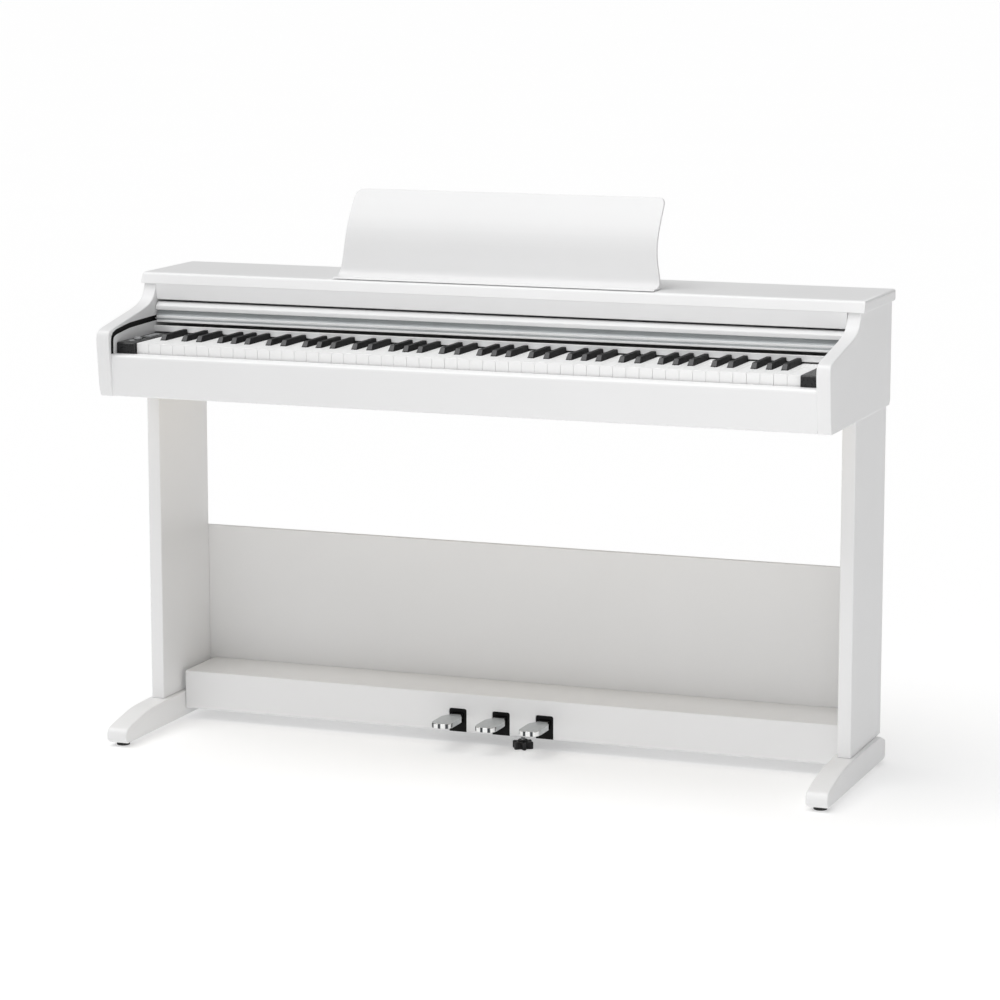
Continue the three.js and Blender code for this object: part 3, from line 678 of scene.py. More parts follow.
def makeCaseRails():
    grow = Vector((endFit * mm, 0, 0))
    low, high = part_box("upper_front_rail")
    high.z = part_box("top_board")[0].z
    rail = startCube("upperFrontRail", low, high)
    roundSharp(rail, railShape["edge"], 4, test=lambda a, b: max(a.z, b.z) < low.z + mm and runsAcross(a, b))
    # painted light: the rail takes the lighter copy of the case white
    settle(rail, "cabinet", finish["brightWhiteAndPaintedLight"], ["upper_front_rail"])

    low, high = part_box("key_slip")
    outline = softCorners(slipShape["outline"], 8)
    slip = traceOutline("keySlip", sideOutline(outline, low.x - grow.x, caseZ))
    pull((high.x - low.x + 2 * grow.x, 0, 0))
    roundSharp(slip, slipShape["edge"], 3, above=60, test=runsAcross)
    settle(slip, "cabinet", finish["satinCase"], ["key_slip"])
    # painted light: the slip's top ledge is lighter than its front, as if lit from above
    paintFaces(slip, finish["brightWhiteAndPaintedLight"], lambda c, n: n.z > 0.5 and c.z > high.z - 6 * mm)

    low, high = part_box("name_strip")
    strip = startCube("nameStrip", low - grow, high + grow)
    roundSharp(strip, stripShape["edge"], 3, test=runsAcross)
    settle(strip, "cabinet", finish["brightWhiteAndPaintedLight"], ["name_strip"])

    low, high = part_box("key_felt")
    felt = startCube("keyFelt", low, high)
    bpy.ops.mesh.subdivide(number_cuts=2)
    roundSharp(felt, stripShape["feltEdge"], 2)
    settle(felt, "cabinet", finish["woolFelt"], ["key_felt"])


cheekShape = {"edge": 0.9, "frontChamfer": 2.6, "bodyFront": 38.0, "noseFoot": 76.35}
controlShape = {"clear": 0.4, "floor": 7.0, "trackLong": 36.0, "trackWide": 4.8, "trackRound": 2.2}


def startCheek(node, name):
    # the front hangs over the ledge of the key slip
    low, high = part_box(node)
    bodyFront = frontY + cheekShape["bodyFront"] * mm
    foot = caseZ + cheekShape["noseFoot"] * mm
    block = startCube(name, (low.x, bodyFront, low.z), high)
    sliceAt((0, 0, foot), (0, 0, 1))
    pickFaces(block, lambda c, n: n.y < -0.9 and c.z > foot)
    extrudePicked((0, low.y - bodyFront, 0))
    roundSharp(block, cheekShape["frontChamfer"], 1,
               test=lambda a, b: max(a.y, b.y) < low.y + mm and min(a.z, b.z) > high.z - mm)
    roundSharp(block, cheekShape["edge"], 3, above=35, test=lambda a, b: min(a.z, b.z) > foot - mm)
    return block


def makeCheekBlocks():
    block = startCheek("right_cheek_block", "rightCheekBlock")
    settle(block, "cabinet", finish["cheekPlastic"], ["right_cheek_block"])

    low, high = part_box("left_cheek_block")
    block = startCheek("left_cheek_block", "leftCheekBlock")
    clear = controlShape["clear"] * mm
    floorZ = high.z - controlShape["floor"] * mm
    wellTop = high.z + 2 * mm
    for node in ("sound_button", "metronome_button", "play_button"):
        a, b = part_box(node)
        well = startCube("well", (a.x - clear, a.y - clear, floorZ), (b.x + clear, b.y + clear, wellTop))
        cutAway(block, well)
    a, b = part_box("volume_slider")
    track = startTrack((a.x + b.x) / 2, a.y - mm, floorZ, wellTop)
    cutAway(block, track)
    a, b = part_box("power_button")
    middle = ((a.x + b.x) / 2, (a.y + b.y) / 2, (floorZ + wellTop) / 2)
    well = startCylinder("well", middle, (b.x - a.x) / 2 + clear, wellTop - floorZ)
    cutAway(block, well)
    settle(block, "cabinet", finish["cheekPlastic"], ["left_cheek_block"])


def startTrack(x, y, low, high):
    half = controlShape["trackWide"] / 2 * mm
    track = startCube("track", (x - half, y, low), (x + half, y + controlShape["trackLong"] * mm, high))
    roundSharp(track, controlShape["trackRound"], 4, test=lambda a, b: abs(a.z - b.z) > mm)
    return track


buttonShape = {"edge": 0.7, "rim": 1.4, "dish": 0.5}
powerShape = {"rim": 1.1, "slope": 1.2, "dish": 0.9, "edge": 0.35}
sliderShape = {
    "stemWide": 4.0, "stemDrop": 3.0, "capThick": 4.0, "capTaper": (0.9, 0.8, 1), "dip": 0.7, "edge": 0.4,
}


def makeControls():
    for name in ("sound", "metronome", "play"):
        node = name + "_button"
        low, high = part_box(node)
        button = startCube(name + "Button", low, high)
        pickFaces(button, lambda c, n: n.z > 0.9)
        bpy.ops.mesh.inset(thickness=buttonShape["rim"] * mm, depth=0)
        movePicked((0, 0, -buttonShape["dish"] * mm))
        roundSharp(button, buttonShape["edge"], 3, above=40)
        settle(button, node, finish["buttonGrey"], [node])

    low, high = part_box("power_button")
    middle = (low + high) / 2
    power = startCylinder("powerButton", middle, (high.x - low.x) / 2, high.z - low.z, 40)
    pickFaces(power, lambda c, n: n.z > 0.9)
    bpy.ops.mesh.inset(thickness=powerShape["rim"] * mm, depth=0)
    bpy.ops.mesh.inset(thickness=powerShape["slope"] * mm, depth=0)
    movePicked((0, 0, -powerShape["dish"] * mm))
    roundSharp(power, powerShape["edge"], 3, above=40)
    settle(power, "power_button", finish["buttonGrey"], ["power_button"])

    low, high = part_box("volume_slider")
    middle = (low + high) / 2
    k = sliderShape
    half = k["stemWide"] / 2 * mm
    stem = startCube("volumeStem", (middle.x - half, low.y + mm, low.z),
                     (middle.x + half, high.y - mm, high.z - k["stemDrop"] * mm))
    cap = startCube("volumeSlider", (low.x, low.y, high.z - k["capThick"] * mm), high)
    pickFaces(cap, lambda c, n: n.z > 0.9)
    scalePicked(k["capTaper"])
    bpy.ops.mesh.subdivide(number_cuts=1)
    near = 0.1 * mm
    pickEdges(cap, lambda a, b, angle: max(abs(a.y - middle.y), abs(b.y - middle.y)) < near
              and min(a.z, b.z) > high.z - near)
    movePicked((0, 0, -k["dip"] * mm))
    roundSharp(cap, k["edge"], 3, above=40)
    joinPieces(cap, [stem])
    settle(cap, "volume_slider", finish["buttonGrey"], ["volume_slider"])


fallboardShape = {
    "outline": [
        (193, 114.8), (197, 114.4), (205, 117), (210, 123), (372, 128.4), (372, 136.4), (204, 140.4),
        (204, 152, 1), (197.6, 152, 2.2), (188.9, 145.2, 0.6), (188.5, 144.6), (188.9, 144.2),
        (188.3, 143.8, 0.4), (188.3, 138.2, 0.7), (189.2, 137.4, 0.4), (201.1, 137.4), (201.1, 134.3),
        (193, 124.3),
    ],
    "strip": [
        (190.5, 115.6, 0.4), (191, 114.8, 0.3), (192.6, 115.2), (192.6, 124.6), (200.7, 134.6),
        (200.7, 137), (198.9, 137), (198.7, 135.6, 0.6), (192.4, 127.7, 0.5), (191.3, 126.4, 0.4),
        (190.5, 124.8, 1.1), (190.7, 122.6, 0.6), (191.2, 121.9, 0.4), (191.2, 118.8, 0.4),
        (190.6, 118, 0.5),
    ],
    "bandFoot": 126.6,
    "beadFoot": 122.2,
    "creaseTop": 118.6,
    "pins": ((196, 121.2), (366, 130.4)),
    "pinRadius": 1.6,
    "pinLong": 8.0,
    "edge": 0.6,
}


def makeFallboard():
    low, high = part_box("fallboard_strip")
    outline = softCorners(fallboardShape["outline"], 5)
    board = traceOutline("fallboardPanel", sideOutline(outline, low.x, caseZ))
    pull((high.x - low.x, 0, 0))
    roundSharp(board, fallboardShape["edge"], 3, above=70)
    pins = []
    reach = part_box("fallboard")[1].x
    long = fallboardShape["pinLong"] * mm
    for side in (-1, 1):
        for d, h in fallboardShape["pins"]:
            spot = Vector((side * (reach - long / 2), frontY + d * mm, caseZ + h * mm))
            radius = fallboardShape["pinRadius"] * mm
            pin = startCylinder("guidePin", spot, radius, long, 20, (0, math.pi / 2, 0))
            roundSharp(pin, 0.4, 2, above=60)
            pins.append(pin)
    joinPieces(board, pins)
    # painted light: the fallboard panel takes the lighter copy of the case white
    settle(board, "fallboard", finish["brightWhiteAndPaintedLight"], ["fallboard"])

    outline = softCorners(fallboardShape["strip"], 5)
    strip = traceOutline("fallboardStrip", sideOutline(outline, low.x, caseZ))
    pull((high.x - low.x, 0, 0))
    # the strip's band is silver darkened as painted reflection
    settle(strip, "fallboard", finish["railSilverAndPaintedReflection"], ["fallboard_strip"])
    foot = caseZ + fallboardShape["bandFoot"] * mm
    bead = caseZ + fallboardShape["beadFoot"] * mm
    crease = caseZ + fallboardShape["creaseTop"] * mm
    # painted highlight on the bead and the lip
    paintFaces(strip, finish["railPaintedHighlight"], lambda c, n: c.z < foot and (c.z > bead or c.z < crease))


keyShape = {
    "pitch": 23.6,
    "slit": 0.6,
    "front": 38.0,
    "wideEnd": 190.0,
    "tailEnd": 262.0,
    "top": 95.0,
    "deep": 21.0,
    "tailThick": 8.0,
    "lip": 2.4,
    "lipBack": 0.7,
    "sharpWide": 10.6,
    "sharpFront": 90.0,
    "sharpEnd": 182.0,
    "sharpHigh": 10.0,
    "sharpRoom": 0.9,
    "sharpTaper": 0.79,
    "sharpSlope": 8.0,
    "sharpCrown": 1.3,
    "sharpCorner": 0.7,
    "sharpFoot": -12.0,
    "sharpTail": (-10.0, -4.0),
    "sharpSeam": 1.0,
    "sharpShift": {"C": -2.6, "D": 2.6, "F": -3.2, "G": 0.0, "A": 3.2},
    "edge": 0.9,
}
whiteCount = 52
letters = "CDEFGAB"


def letterOf(i):
    return letters[(i + 5) % 7]


def keyLeft(i):
    return (i - whiteCount / 2) * keyShape["pitch"]


def sharpMiddle(i):
    # mm across, or None where there is no sharp above key i
    letter = letterOf(i)
    if letter not in keyShape["sharpShift"] or i >= whiteCount - 1 or i < 0:
        return None
    return keyLeft(i + 1) + keyShape["sharpShift"][letter]


def bodyOfKey(i, sharp):
    if 23 <= i < 30:
        return "key_" + letterOf(i) + ("s4" if sharp else "4")
    return ("bass_" if i < 23 else "treble_") + ("black_keys" if sharp else "white_keys")


def makeWhiteKey(i, name):
    k = keyShape
    left, right = keyLeft(i) + k["slit"] / 2, keyLeft(i + 1) - k["slit"] / 2
    room = k["sharpWide"] / 2 + k["sharpRoom"]
    below, above = sharpMiddle(i - 1), sharpMiddle(i)
    a = left if below is None else below + room
    b = right if above is None else above - room
    notch = k["sharpFront"] - 1.5
    plan = [(left, k["front"]), (right, k["front"])]
    plan += [(b, k["wideEnd"])] if above is None else [(right, notch), (b, notch), (b, k["wideEnd"])]
    plan += [(a, k["wideEnd"])] if below is None else [(a, k["wideEnd"]), (a, notch), (left, notch)]
    topZ = caseZ + k["top"] * mm
    key = traceOutline(name, planOutline(plan, topZ))
    pull((0, 0, -k["deep"] * mm))
    frontAt = frontY + k["front"] * mm
    # the playing surface overhangs the front face a little
    sliceAt((0, 0, topZ - k["lip"] * mm), (0, 0, 1))
    pickEdges(key, lambda p, q, angle: max(p.y, q.y) < frontAt + 0.1 * mm and max(p.z, q.z) < topZ - mm
              and isLevel(p, q))
    movePicked((0, k["lipBack"] * mm, 0))
    # the hidden tail is thinner and runs on to the pivot
    tailAt = frontY + k["wideEnd"] * mm
    tailTop = topZ - (k["deep"] - k["tailThick"]) * mm
    sliceAt((0, 0, tailTop), (0, 0, 1))
    pickFaces(key, lambda c, n: n.y > 0.9 and c.y > tailAt - mm and c.z < tailTop)
    extrudePicked((0, (k["tailEnd"] - k["wideEnd"]) * mm, 0))
    roundSharp(key, k["edge"], 3, above=50,
               test=lambda p, q: min(p.z, q.z) > topZ - 0.1 * mm and min(p.y, q.y) < tailAt - mm)
    return key


def makeSharp(name):
    # the middle of the sharp is at x = 0, and its copies are moved across
    k = keyShape
    half = k["sharpWide"] / 2 * mm
    topZ = caseZ + (k["top"] + k["sharpHigh"]) * mm
    frontAt, endAt = frontY + k["sharpFront"] * mm, frontY + k["sharpEnd"] * mm
    key = startCube(name, (-half, frontAt, caseZ + (k["top"] + k["sharpFoot"]) * mm), (half, endAt, topZ))
    seamZ = caseZ + (k["top"] + k["sharpSeam"]) * mm
    tailFoot, tailTop = (caseZ + (k["top"] + h) * mm for h in k["sharpTail"])
    middleY = frontY + (k["sharpFront"] + k["sharpEnd"]) / 2 * mm
    for height in (tailFoot, tailTop, seamZ):
        sliceAt((0, 0, height), (0, 0, 1))
    pickFaces(key, lambda c, n: n.z > 0.9 and c.z > topZ - mm)
    scalePicked((k["sharpTaper"], 1, 1))
    pickEdges(key, lambda p, q, angle: max(p.y, q.y) < middleY and min(p.z, q.z) > topZ - 0.1 * mm)
    movePicked((0, k["sharpSlope"] * mm, 0))
    roundSharp(key, k["sharpCrown"], 4, above=20, test=lambda p, q: min(p.z, q.z) > topZ - 0.1 * mm)
    roundSharp(key, k["sharpCorner"], 2, above=40,
               test=lambda p, q: max(p.y, q.y) < middleY and min(p.z, q.z) > seamZ - mm)
    pickFaces(key, lambda c, n: n.y > 0.9 and tailFoot < c.z < tailTop)
    extrudePicked((0, (k["tailEnd"] - k["sharpEnd"]) * mm, 0))
    return key


def makeKeys():
    shapes = {}
    for i in range(whiteCount):
        body = bodyOfKey(i, False)
        kind = (sharpMiddle(i - 1) is None, sharpMiddle(i) is None, letterOf(i))
        name = "whiteKey" + str(i + 1).zfill(2)
        if kind in shapes:
            first, at = shapes[kind]
            key = copyPiece(first, name, ((keyLeft(i) - at) * mm, 0, 0))
        else:
            key = makeWhiteKey(i, name)
            smoothPiece(key, 35)
            shapes[kind] = (key, keyLeft(i))
        giveFinish(key, finish["keyIvory"])
        finishKey(key, body)
    sharp = makeSharp("sharpModel")
    smoothPiece(sharp, 35)
    for i in range(whiteCount):
        middle = sharpMiddle(i)
        if middle is None:
            continue
        key = copyPiece(sharp, "blackKey" + str(i + 1).zfill(2), (middle * mm, 0, 0))
        giveFinish(key, finish["keyEbony"])
        # painted highlight: the sharps' front slopes are a lighter ebony, standing for the light they catch
        paintFaces(key, finish["ebonyPaintedLitFront"], lambda c, n: n.y < -0.5 and n.z > 0.25)
        finishKey(key, bodyOfKey(i, True))
    pickPiece(sharp)
    bpy.ops.object.delete()


def finishKey(key, body):
    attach(key, body)
    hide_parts(body)


restShape = {
    "face": [
        (201, 1.1), (242.5, 1.0), (242.5, 20), (243, 55, 110), (247.5, 78, 90), (257.5, 100, 115),
        (274.5, 125, 200), (296.8, 153.2, 1.2), (293.4, 156.4, 1.2), (269, 128, 200), (251.5, 102, 115),
        (241.3, 79, 90), (237, 55, 110), (236.5, 25), (235.1, 15, 4), (231, 8, 5), (223.5, 4.6, 6),
        (204, 3.4, 2),
    ],
    "wellHigh": 6.2,
    "cornerRound": 16.0,
    "waist": 8.0,
    "waistHigh": 60.0,
    "high": 156.6,
    "taper": 9.5,
    "edge": 1.1,
}


def makeMusicRest():
    low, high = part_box("music_rest")
    face = sideOutline(softCorners(restShape["face"], 5), low.x, boardTop)
    rest = traceOutline("musicRest", face)
    pull((high.x - low.x, 0, 0))
    half = (high.x - low.x) / 2 / mm
    right = [(half + 2, -5), (half, 10), (half - restShape["waist"], restShape["waistHigh"], 30),
             (half - restShape["taper"], restShape["high"], restShape["cornerRound"])]
    view = right + [(-p[0],) + p[1:] for p in reversed(right)]
    shape = traceOutline("restView", frontOutline(softCorners(view, 8), low.y - 10 * mm, boardTop))
    pull((0, 130 * mm, 0))
    cutAway(rest, shape, "INTERSECT")
    for side in ("left", "right"):
        a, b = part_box(side + "_rest_hinge")
        well = startCube("hingeWell", (a.x - mm, a.y - 0.6 * mm, boardTop - 3 * mm),
                         (b.x + mm, high.y, boardTop + restShape["wellHigh"] * mm))
        cutAway(rest, well)
    roundSharp(rest, restShape["edge"], 3, above=55)
    settle(rest, "music_rest", finish["satinCase"], ["music_rest"])


footShape = {
    "outline": [
        (24, 7, 10), (398, 7, 6), (404.9, 12, 4), (404.9, 36, 6), (402, 42, 6), (368, 55, 12),
        (175, 55, 36), (115, 53, 20), (42, 39.5, 16), (22, 34, 10), (16.6, 25, 9), (17.4, 12, 7),
    ],
    "edge": 3.0,
    "wellMiddle": 5.0,
    "wellDeep": 8.0,
    "wellRoom": 0.3,
}
legShape = {"edge": 2.6, "endEdge": 0.5}
glideShape = {"edge": 1.4, "rim": 3.5, "slope": 0.8, "dish": 0.8}
backBoardShape = {"footStep": 57.0, "footHalf": 635.5, "edge": 1.0}


def makeStand():
    for side in ("left", "right"):
        low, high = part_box(side + "_leg")
        leg = startCube(side + "Leg", low, high)
        roundSharp(leg, legShape["edge"], 4, test=lambda a, b: abs(a.z - b.z) > 10 * mm)
        roundSharp(leg, legShape["endEdge"], 2, above=60)
        settle(leg, "cabinet", finish["satinCase"], [side + "_leg"])

        low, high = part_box(side + "_foot")
        foot = traceOutline(side + "Foot", sideOutline(softCorners(footShape["outline"], 6), low.x, 0.0))
        pull((high.x - low.x, 0, 0))
        roundSharp(foot, footShape["edge"], 4, above=60)
        for place in ("front", "back"):
            a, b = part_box(side + "_" + place + "_glide")
            middle = ((a.x + b.x) / 2, (a.y + b.y) / 2, footShape["wellMiddle"] * mm)
            radius = (b.x - a.x) / 2 + footShape["wellRoom"] * mm
            well = startCylinder("glideWell", middle, radius, footShape["wellDeep"] * mm, 32)
            cutAway(foot, well)
        settle(foot, "cabinet", finish["satinCase"], [side + "_foot"])

        for place in ("front", "back"):
            node = side + "_" + place + "_glide"
            a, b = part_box(node)
            name = side + place.capitalize() + "Glide"
            glide = startCylinder(name, (a + b) / 2, (b.x - a.x) / 2, b.z - a.z, 36)
            roundSharp(glide, glideShape["edge"], 4, above=60, test=lambda p, q: max(p.z, q.z) < mm)
            pickFaces(glide, lambda c, n: n.z < -0.9 and c.z < 0.02 * mm)
            bpy.ops.mesh.inset(thickness=glideShape["rim"] * mm, depth=0)
            bpy.ops.mesh.inset(thickness=glideShape["slope"] * mm, depth=0)
            movePicked((0, 0, glideShape["dish"] * mm))
            settle(glide, "cabinet", finish["glideRubber"], [node])

    low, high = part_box("lower_back_board")
    step, inner = backBoardShape["footStep"] * mm, backBoardShape["footHalf"] * mm
    corners = [(-inner, low.z), (inner, low.z), (inner, step), (high.x, step),
               (high.x, high.z), (low.x, high.z), (low.x, step), (-inner, step)]
    board = traceOutline("lowerBackBoard", [Vector((x, low.y, z)) for x, z in corners])
    pull((0, high.y - low.y, 0))
    roundSharp(board, backBoardShape["edge"], 3, above=60)
    settle(board, "cabinet", finish["panelWhite"], ["lower_back_board"])


boxShape = {
    "outline": [
        (264, 22, 3.5), (279, 22, 1), (279, 79), (377.6, 79), (377.6, 22, 1), (392.6, 22, 1),
        (392.6, 94, 1.5), (264, 94, 3),
    ],
    "wallBack": 279.35,
    "windowWide": 34.0,
    "windowTop": 66.0,
    "windowAt": (-88.0, -4.0, 80.0),
    "windowRound": 4.5,
    "stemRoom": 0.4,
    "edge": 0.5,
}


def windowView(middle, inset, foot, y):
    half = boxShape["windowWide"] / 2 - inset
    top = boxShape["windowTop"] - inset
    turn = max(boxShape["windowRound"] - inset * 0.5, 1)
    corners = [(middle - half, foot), (middle + half, foot),
               (middle + half, top, turn), (middle - half, top, turn)]
    return frontOutline(softCorners(corners, 5), y, 0.0)


def makePedalBox():
    low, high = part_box("pedal_box")
    box = traceOutline("pedalBox", sideOutline(softCorners(boxShape["outline"], 5), low.x, 0.0))
    pull((high.x - low.x, 0, 0))
    roundSharp(box, boxShape["edge"], 2, above=70)
    for middle in boxShape["windowAt"]:
        cutter = traceOutline("windowCutter", windowView(middle, 0, 15, low.y - 5 * mm))
        pull((0, 28 * mm, 0))
        cutAway(box, cutter)
    a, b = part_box("support_stem")
    middle = ((a.x + b.x) / 2, (a.y + b.y) / 2, 42 * mm)
    hole = startCylinder("stemHole", middle, (b.x - a.x) / 2 + boxShape["stemRoom"] * mm, 46 * mm, 24)
    cutAway(box, hole)
    settle(box, "cabinet", finish["satinCase"], ["pedal_box"])

    makeWindowTrim()


trimShape = {
    "plateFoot": 26.0, "insertGap": 0.35, "neckHalf": 11.6, "neckFoot": 40.0, "neckTop": 58.6,
    "hollowAt": 3.0, "edge": 0.4, "insertEdge": 0.7,
}


def makeWindowTrim():
    # one black plate behind the wall; an insert fills each window round the pedal's neck
    k = trimShape
    low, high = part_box("pedal_window_trim")
    plateFront = frontY + boxShape["wallBack"] * mm
    trim = startCube("pedalWindowTrim", (low.x, plateFront, k["plateFoot"] * mm), high)
    roundSharp(trim, k["edge"], 2, above=60)
    for middle in boxShape["windowAt"]:
        insertFoot = boxShape["outline"][0][1] + k["insertGap"]
        insert = traceOutline("windowInsert", windowView(middle, k["insertGap"], insertFoot, low.y))
        pull((0, high.y - low.y, 0))
        roundSharp(insert, k["insertEdge"], 3, above=60, test=lambda a, b: max(a.y, b.y) < low.y + mm)
        cutAway(trim, insert, "UNION")
        left, right = (middle - k["neckHalf"]) * mm, (middle + k["neckHalf"]) * mm
        past = (right, high.y + 5 * mm, k["neckTop"] * mm)
        slot = startCube("neckSlot", (left, low.y - 5 * mm, k["neckFoot"] * mm), past)
        cutAway(trim, slot)
        hollow = startCube("neckHollow", (left, low.y + k["hollowAt"] * mm, 15 * mm), past)
        cutAway(trim, hollow)
    settle(trim, "cabinet", finish["shadowBlack"], ["pedal_window_trim"])


pedalShape = {
    "wide": 39.0, "neck": 20.0, "front": 172.0, "sideEnd": 235.0, "neckStart": 250.0, "end": 338.0,
    "top": 57.0, "thick": 9.0, "noseRound": 17.0, "shoulder": 8.0, "neckTurn": 6.0, "endTurn": 2.0,
    "noseEdge": 3.6, "topEdge": 1.2, "paintedFrom": 254.0, "bossAt": (330.0, 50.0), "bossRadius": 8.0,
    "bossEdge": 0.8, "skirt": ((-14.0, 286.0, 35.0), (14.0, 289.0, 52.0)), "skirtEdge": 0.5,
}


def makePedals():
    p = pedalShape
    for node, middle in zip(("soft_pedal", "sostenuto_pedal", "sustain_pedal"), boxShape["windowAt"]):
        wide, neck = p["wide"] / 2, p["neck"] / 2
        right = [(wide, p["front"], p["noseRound"]), (wide, p["sideEnd"], p["shoulder"]),
                 (neck, p["neckStart"], p["neckTurn"]), (neck, p["end"], p["endTurn"])]
        left = [(-x, d, turn) for x, d, turn in reversed(right)]
        plan = softCorners([(middle + x, d, turn) for x, d, turn in left[-1:] + right + left[:-1]], 6)
        pedal = traceOutline(node.replace("_pedal", "Pedal"), planOutline(plan, p["top"] * mm))
        pull((0, 0, -p["thick"] * mm))
        noseEnd = frontY + (p["front"] + p["noseRound"]) * mm
        roundSharp(pedal, p["noseEdge"], 5, above=60,
                   test=lambda a, b: isLevel(a, b) and max(a.y, b.y) < noseEnd)
        roundSharp(pedal, p["topEdge"], 3, above=50,
                   test=lambda a, b: isLevel(a, b) and min(a.y, b.y) > noseEnd - 2 * mm)
        paintedFrom = frontY + p["paintedFrom"] * mm
        sliceAt((0, paintedFrom, 0), (0, 1, 0))
        spot = (middle * mm, frontY + p["bossAt"][0] * mm, p["bossAt"][1] * mm)
        boss = startCylinder("pedalBoss", spot, p["bossRadius"] * mm, p["neck"] * mm, 32, (0, math.pi / 2, 0))
        roundSharp(boss, p["bossEdge"], 2, above=60)
        joinPieces(pedal, [boss])
        low, high = (((middle + x) * mm, frontY + d * mm, z * mm) for x, d, z in p["skirt"])
        skirt = startCube("pedalSkirt", low, high)
        roundSharp(skirt, p["skirtEdge"], 2, above=60)
        joinPieces(pedal, [skirt])
        settle(pedal, node, finish["pedalSatin"], [node])
        # painted reflection: the chrome noses carry dark stripes for the gaps between reflected softboxes
        paintFaces(pedal, finish["pedalChromeAndPaintedReflection"], lambda c, n: c.y < noseEnd and n.z < 0.86)
        paintFaces(pedal, finish["shadowBlack"], lambda c, n: c.y > paintedFrom)


knobShape = {
    "lobes": 6, "radius": 20.0, "ripple": 4.2, "high": 14.0, "edge": 3.0, "collar": 9.0, "collarHigh": 4.4,
    "collarEdge": 0.8,
}
threadShape = {"foot": 13.6, "core": 2.0, "pitch": 1.5, "rings": 20, "pinch": 0.86}


def makeSupportBolt():
    k = knobShape
    low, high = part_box("support_knob")
    stemLow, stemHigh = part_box("support_stem")
    middle = (stemLow + stemHigh) / 2
    corners = []
    steps = k["lobes"] * 10
    for i in range(steps):
        turn = i / steps * 2 * math.pi
        radius = k["radius"] - k["ripple"] + k["ripple"] * math.cos(turn * k["lobes"])
        across, along = radius * mm * math.cos(turn), radius * mm * math.sin(turn)
        corners.append(Vector((middle.x + across, middle.y + along, 0)))
    knob = traceOutline("supportKnob", corners)
    pull((0, 0, k["high"] * mm))
    roundSharp(knob, k["edge"], 4, above=60, test=isLevel)
    spot = (middle.x, middle.y, high.z - k["collarHigh"] / 2 * mm)
    collar = startCylinder("knobCollar", spot, k["collar"] * mm, k["collarHigh"] * mm, 40)
    roundSharp(collar, k["collarEdge"], 3, above=60)
    joinPieces(knob, [collar])
    settle(knob, "support_knob", finish["knobPlastic"], ["support_knob"])

    # rolled thread: narrow rings pinched in turn
    t = threadShape
    spot = (middle.x, middle.y, (t["foot"] + t["core"] / 2) * mm)
    stem = startCylinder("supportStem", spot, (stemHigh.x - stemLow.x) / 2, t["core"] * mm, 24)
    for i in range(t["rings"] * 2):
        pickFaces(stem, lambda c, n: n.z > 0.9)
        extrudePicked((0, 0, t["pitch"] * mm / 2))
        amount = t["pinch"] if i % 2 == 0 else 1 / t["pinch"]
        scalePicked((amount, amount, 1))
    settle(stem, "support_stem", finish["zincSteel"], ["support_stem"], smooth=20)


keptPieces = {
    "key_bed": "rawChipboard",
    "key_frame": "zincSteel",
    "cabinet_back_panel": "panelWhite",
    "socket_panel": "cheekPlastic",
    "main_board": "circuitLacquer",
    "left_speaker": "coneFibre",
    "right_speaker": "coneFibre",
    "pedal_bracket": "zincSteel",
    "pedal_shaft": "zincSteel",
    "left_rest_hinge": "zincSteel",
    "right_rest_hinge": "zincSteel",
}


def dressKeptPieces():
    for node, look in keptPieces.items():
        giveFinish(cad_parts[node], finish[look])


screwShape = {
    "across": (-620, -400, -150, 150, 400, 620), "fromEdge": 12.0,
    "radius": 3.6, "high": 1.6, "edge": 0.7, "slot": (0.5, 2.4), "slotFoot": 0.9,
}


def makeBackScrews():
    k = screwShape
    low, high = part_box("cabinet_back_panel")
    spots = []
    for x in k["across"]:
        for z in (low.z + k["fromEdge"] * mm, high.z - k["fromEdge"] * mm):
            spots.append(Vector((x * mm, high.y, z)))
    spot = spots[0]
    middle = spot + Vector((0, k["high"] / 2 * mm, 0))
    first = startCylinder("backScrews", middle, k["radius"] * mm, k["high"] * mm, 24, (math.pi / 2, 0, 0))
    roundSharp(first, k["edge"], 3, above=60)
    for x, z in (k["slot"], k["slot"][::-1]):
        low, high = Vector((-x, k["slotFoot"], -z)) * mm, Vector((x, 3, z)) * mm
        slot = startCube("screwSlot", spot + low, spot + high)
        cutAway(first, slot)
    others = [copyPiece(first, "screw", place - spot) for place in spots[1:]]
    joinPieces(first, others)
    settle(first, "cabinet", finish["zincSteel"])


makeTopBoard()
makeArmPanels()
makeCaseRails()
makeCheekBlocks()
makeControls()
print("case ready")
makeFallboard()
makeMusicRest()
print("fallboard and music rest ready")
makeKeys()
print("keys ready")
makeStand()
makePedalBox()
makePedals()
makeSupportBolt()
makeBackScrews()
dressKeptPieces()
print("stand and pedals ready")


studio = {
    "floor": (0.68, 0.68, 0.68),
    "floorGlow": 0.37,
    "world": 0.3,
    "front": {"from": (0.0, -1.0, 0.32), "spread": 46, "power": 0.16},
    "top": {"from": (-0.24, -0.21, 1.0), "spread": 60, "power": 2.05},
    "fill": {"at": (0.75, -1.5, 0.75), "aim": (-0.45, 0.1, 0.35), "size": 1.1, "power": 3.2},
}


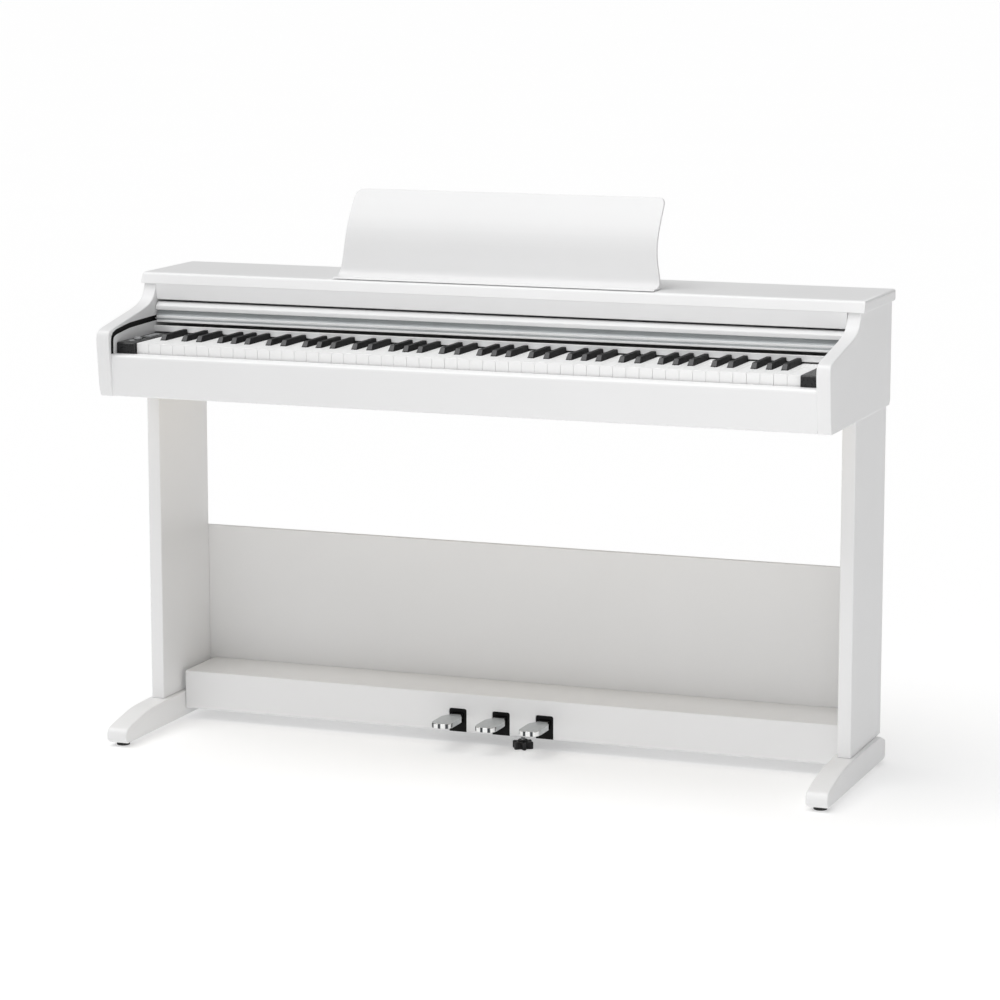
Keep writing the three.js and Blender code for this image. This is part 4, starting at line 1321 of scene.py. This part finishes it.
def makeStudio():
    bpy.ops.mesh.primitive_plane_add(size=60, location=(0, 20, 0))
    floor = bpy.context.object
    floor.name = "studioFloor"
    bpy.ops.object.transform_apply(location=True, rotation=True, scale=True)
    material = bpy.data.materials.new("studioPaper")
    material.use_nodes = True
    tree = material.node_tree
    shader = tree.nodes["Principled BSDF"]
    place = tree.nodes.new("ShaderNodeTexCoord").outputs["Object"]
    grain = useGroup(tree, grainGroup, place, Fine=300.0, Broad=0.8)
    tone = mixColour(tree, grain.outputs["Broad"], studio["floor"], tuple(c * 0.985 for c in studio["floor"]))
    tree.links.new(tone, shader.inputs["Base Color"])
    shader.inputs["Roughness"].default_value = 0.9
    shader.inputs["Specular IOR Level"].default_value = 0.1
    shader.inputs["Emission Color"].default_value = (1, 1, 1, 1)
    shader.inputs["Emission Strength"].default_value = studio["floorGlow"]
    floor.data.materials.append(material)

    world = bpy.data.worlds.new("studioLight")
    bpy.context.scene.world = world
    world.use_nodes = True
    world.node_tree.nodes["Background"].inputs["Color"].default_value = (1, 1, 1, 1)
    world.node_tree.nodes["Background"].inputs["Strength"].default_value = studio["world"]
    for name in ("front", "top"):
        lamp = studio[name]
        light = bpy.data.lights.new(name + "Softbox", "SUN")
        light.angle = math.radians(lamp["spread"])
        light.energy = lamp["power"]
        holder = bpy.data.objects.new(name + "Softbox", light)
        holder.location = Vector(lamp["from"]) * 4
        holder.rotation_euler = Vector(lamp["from"]).to_track_quat("Z", "Y").to_euler()
        bpy.context.scene.collection.objects.link(holder)

    lamp = studio["fill"]
    light = bpy.data.lights.new("fillPanel", "AREA")
    light.size = lamp["size"]
    light.energy = lamp["power"]
    holder = bpy.data.objects.new("fillPanel", light)
    holder.location = lamp["at"]
    holder.rotation_euler = (Vector(lamp["at"]) - Vector(lamp["aim"])).to_track_quat("Z", "Y").to_euler()
    bpy.context.scene.collection.objects.link(holder)

    bpy.context.scene.view_settings.view_transform = "Standard"
    bpy.context.scene.view_settings.look = "None"


camera = {"at": (2.17387, -5.72512, 1.51334), "turn": 20.64, "down": 9.70, "lens": 125.67}


def makeCamera():
    lens = bpy.data.cameras.new("camera")
    lens.lens = camera["lens"]
    lens.sensor_width = 36
    lens.clip_end = 100
    holder = bpy.data.objects.new("camera", lens)
    holder.location = camera["at"]
    holder.rotation_euler = (math.radians(90 - camera["down"]), 0, math.radians(camera["turn"]))
    bpy.context.scene.collection.objects.link(holder)
    bpy.context.scene.camera = holder


makeStudio()
makeCamera()
print("studio ready")
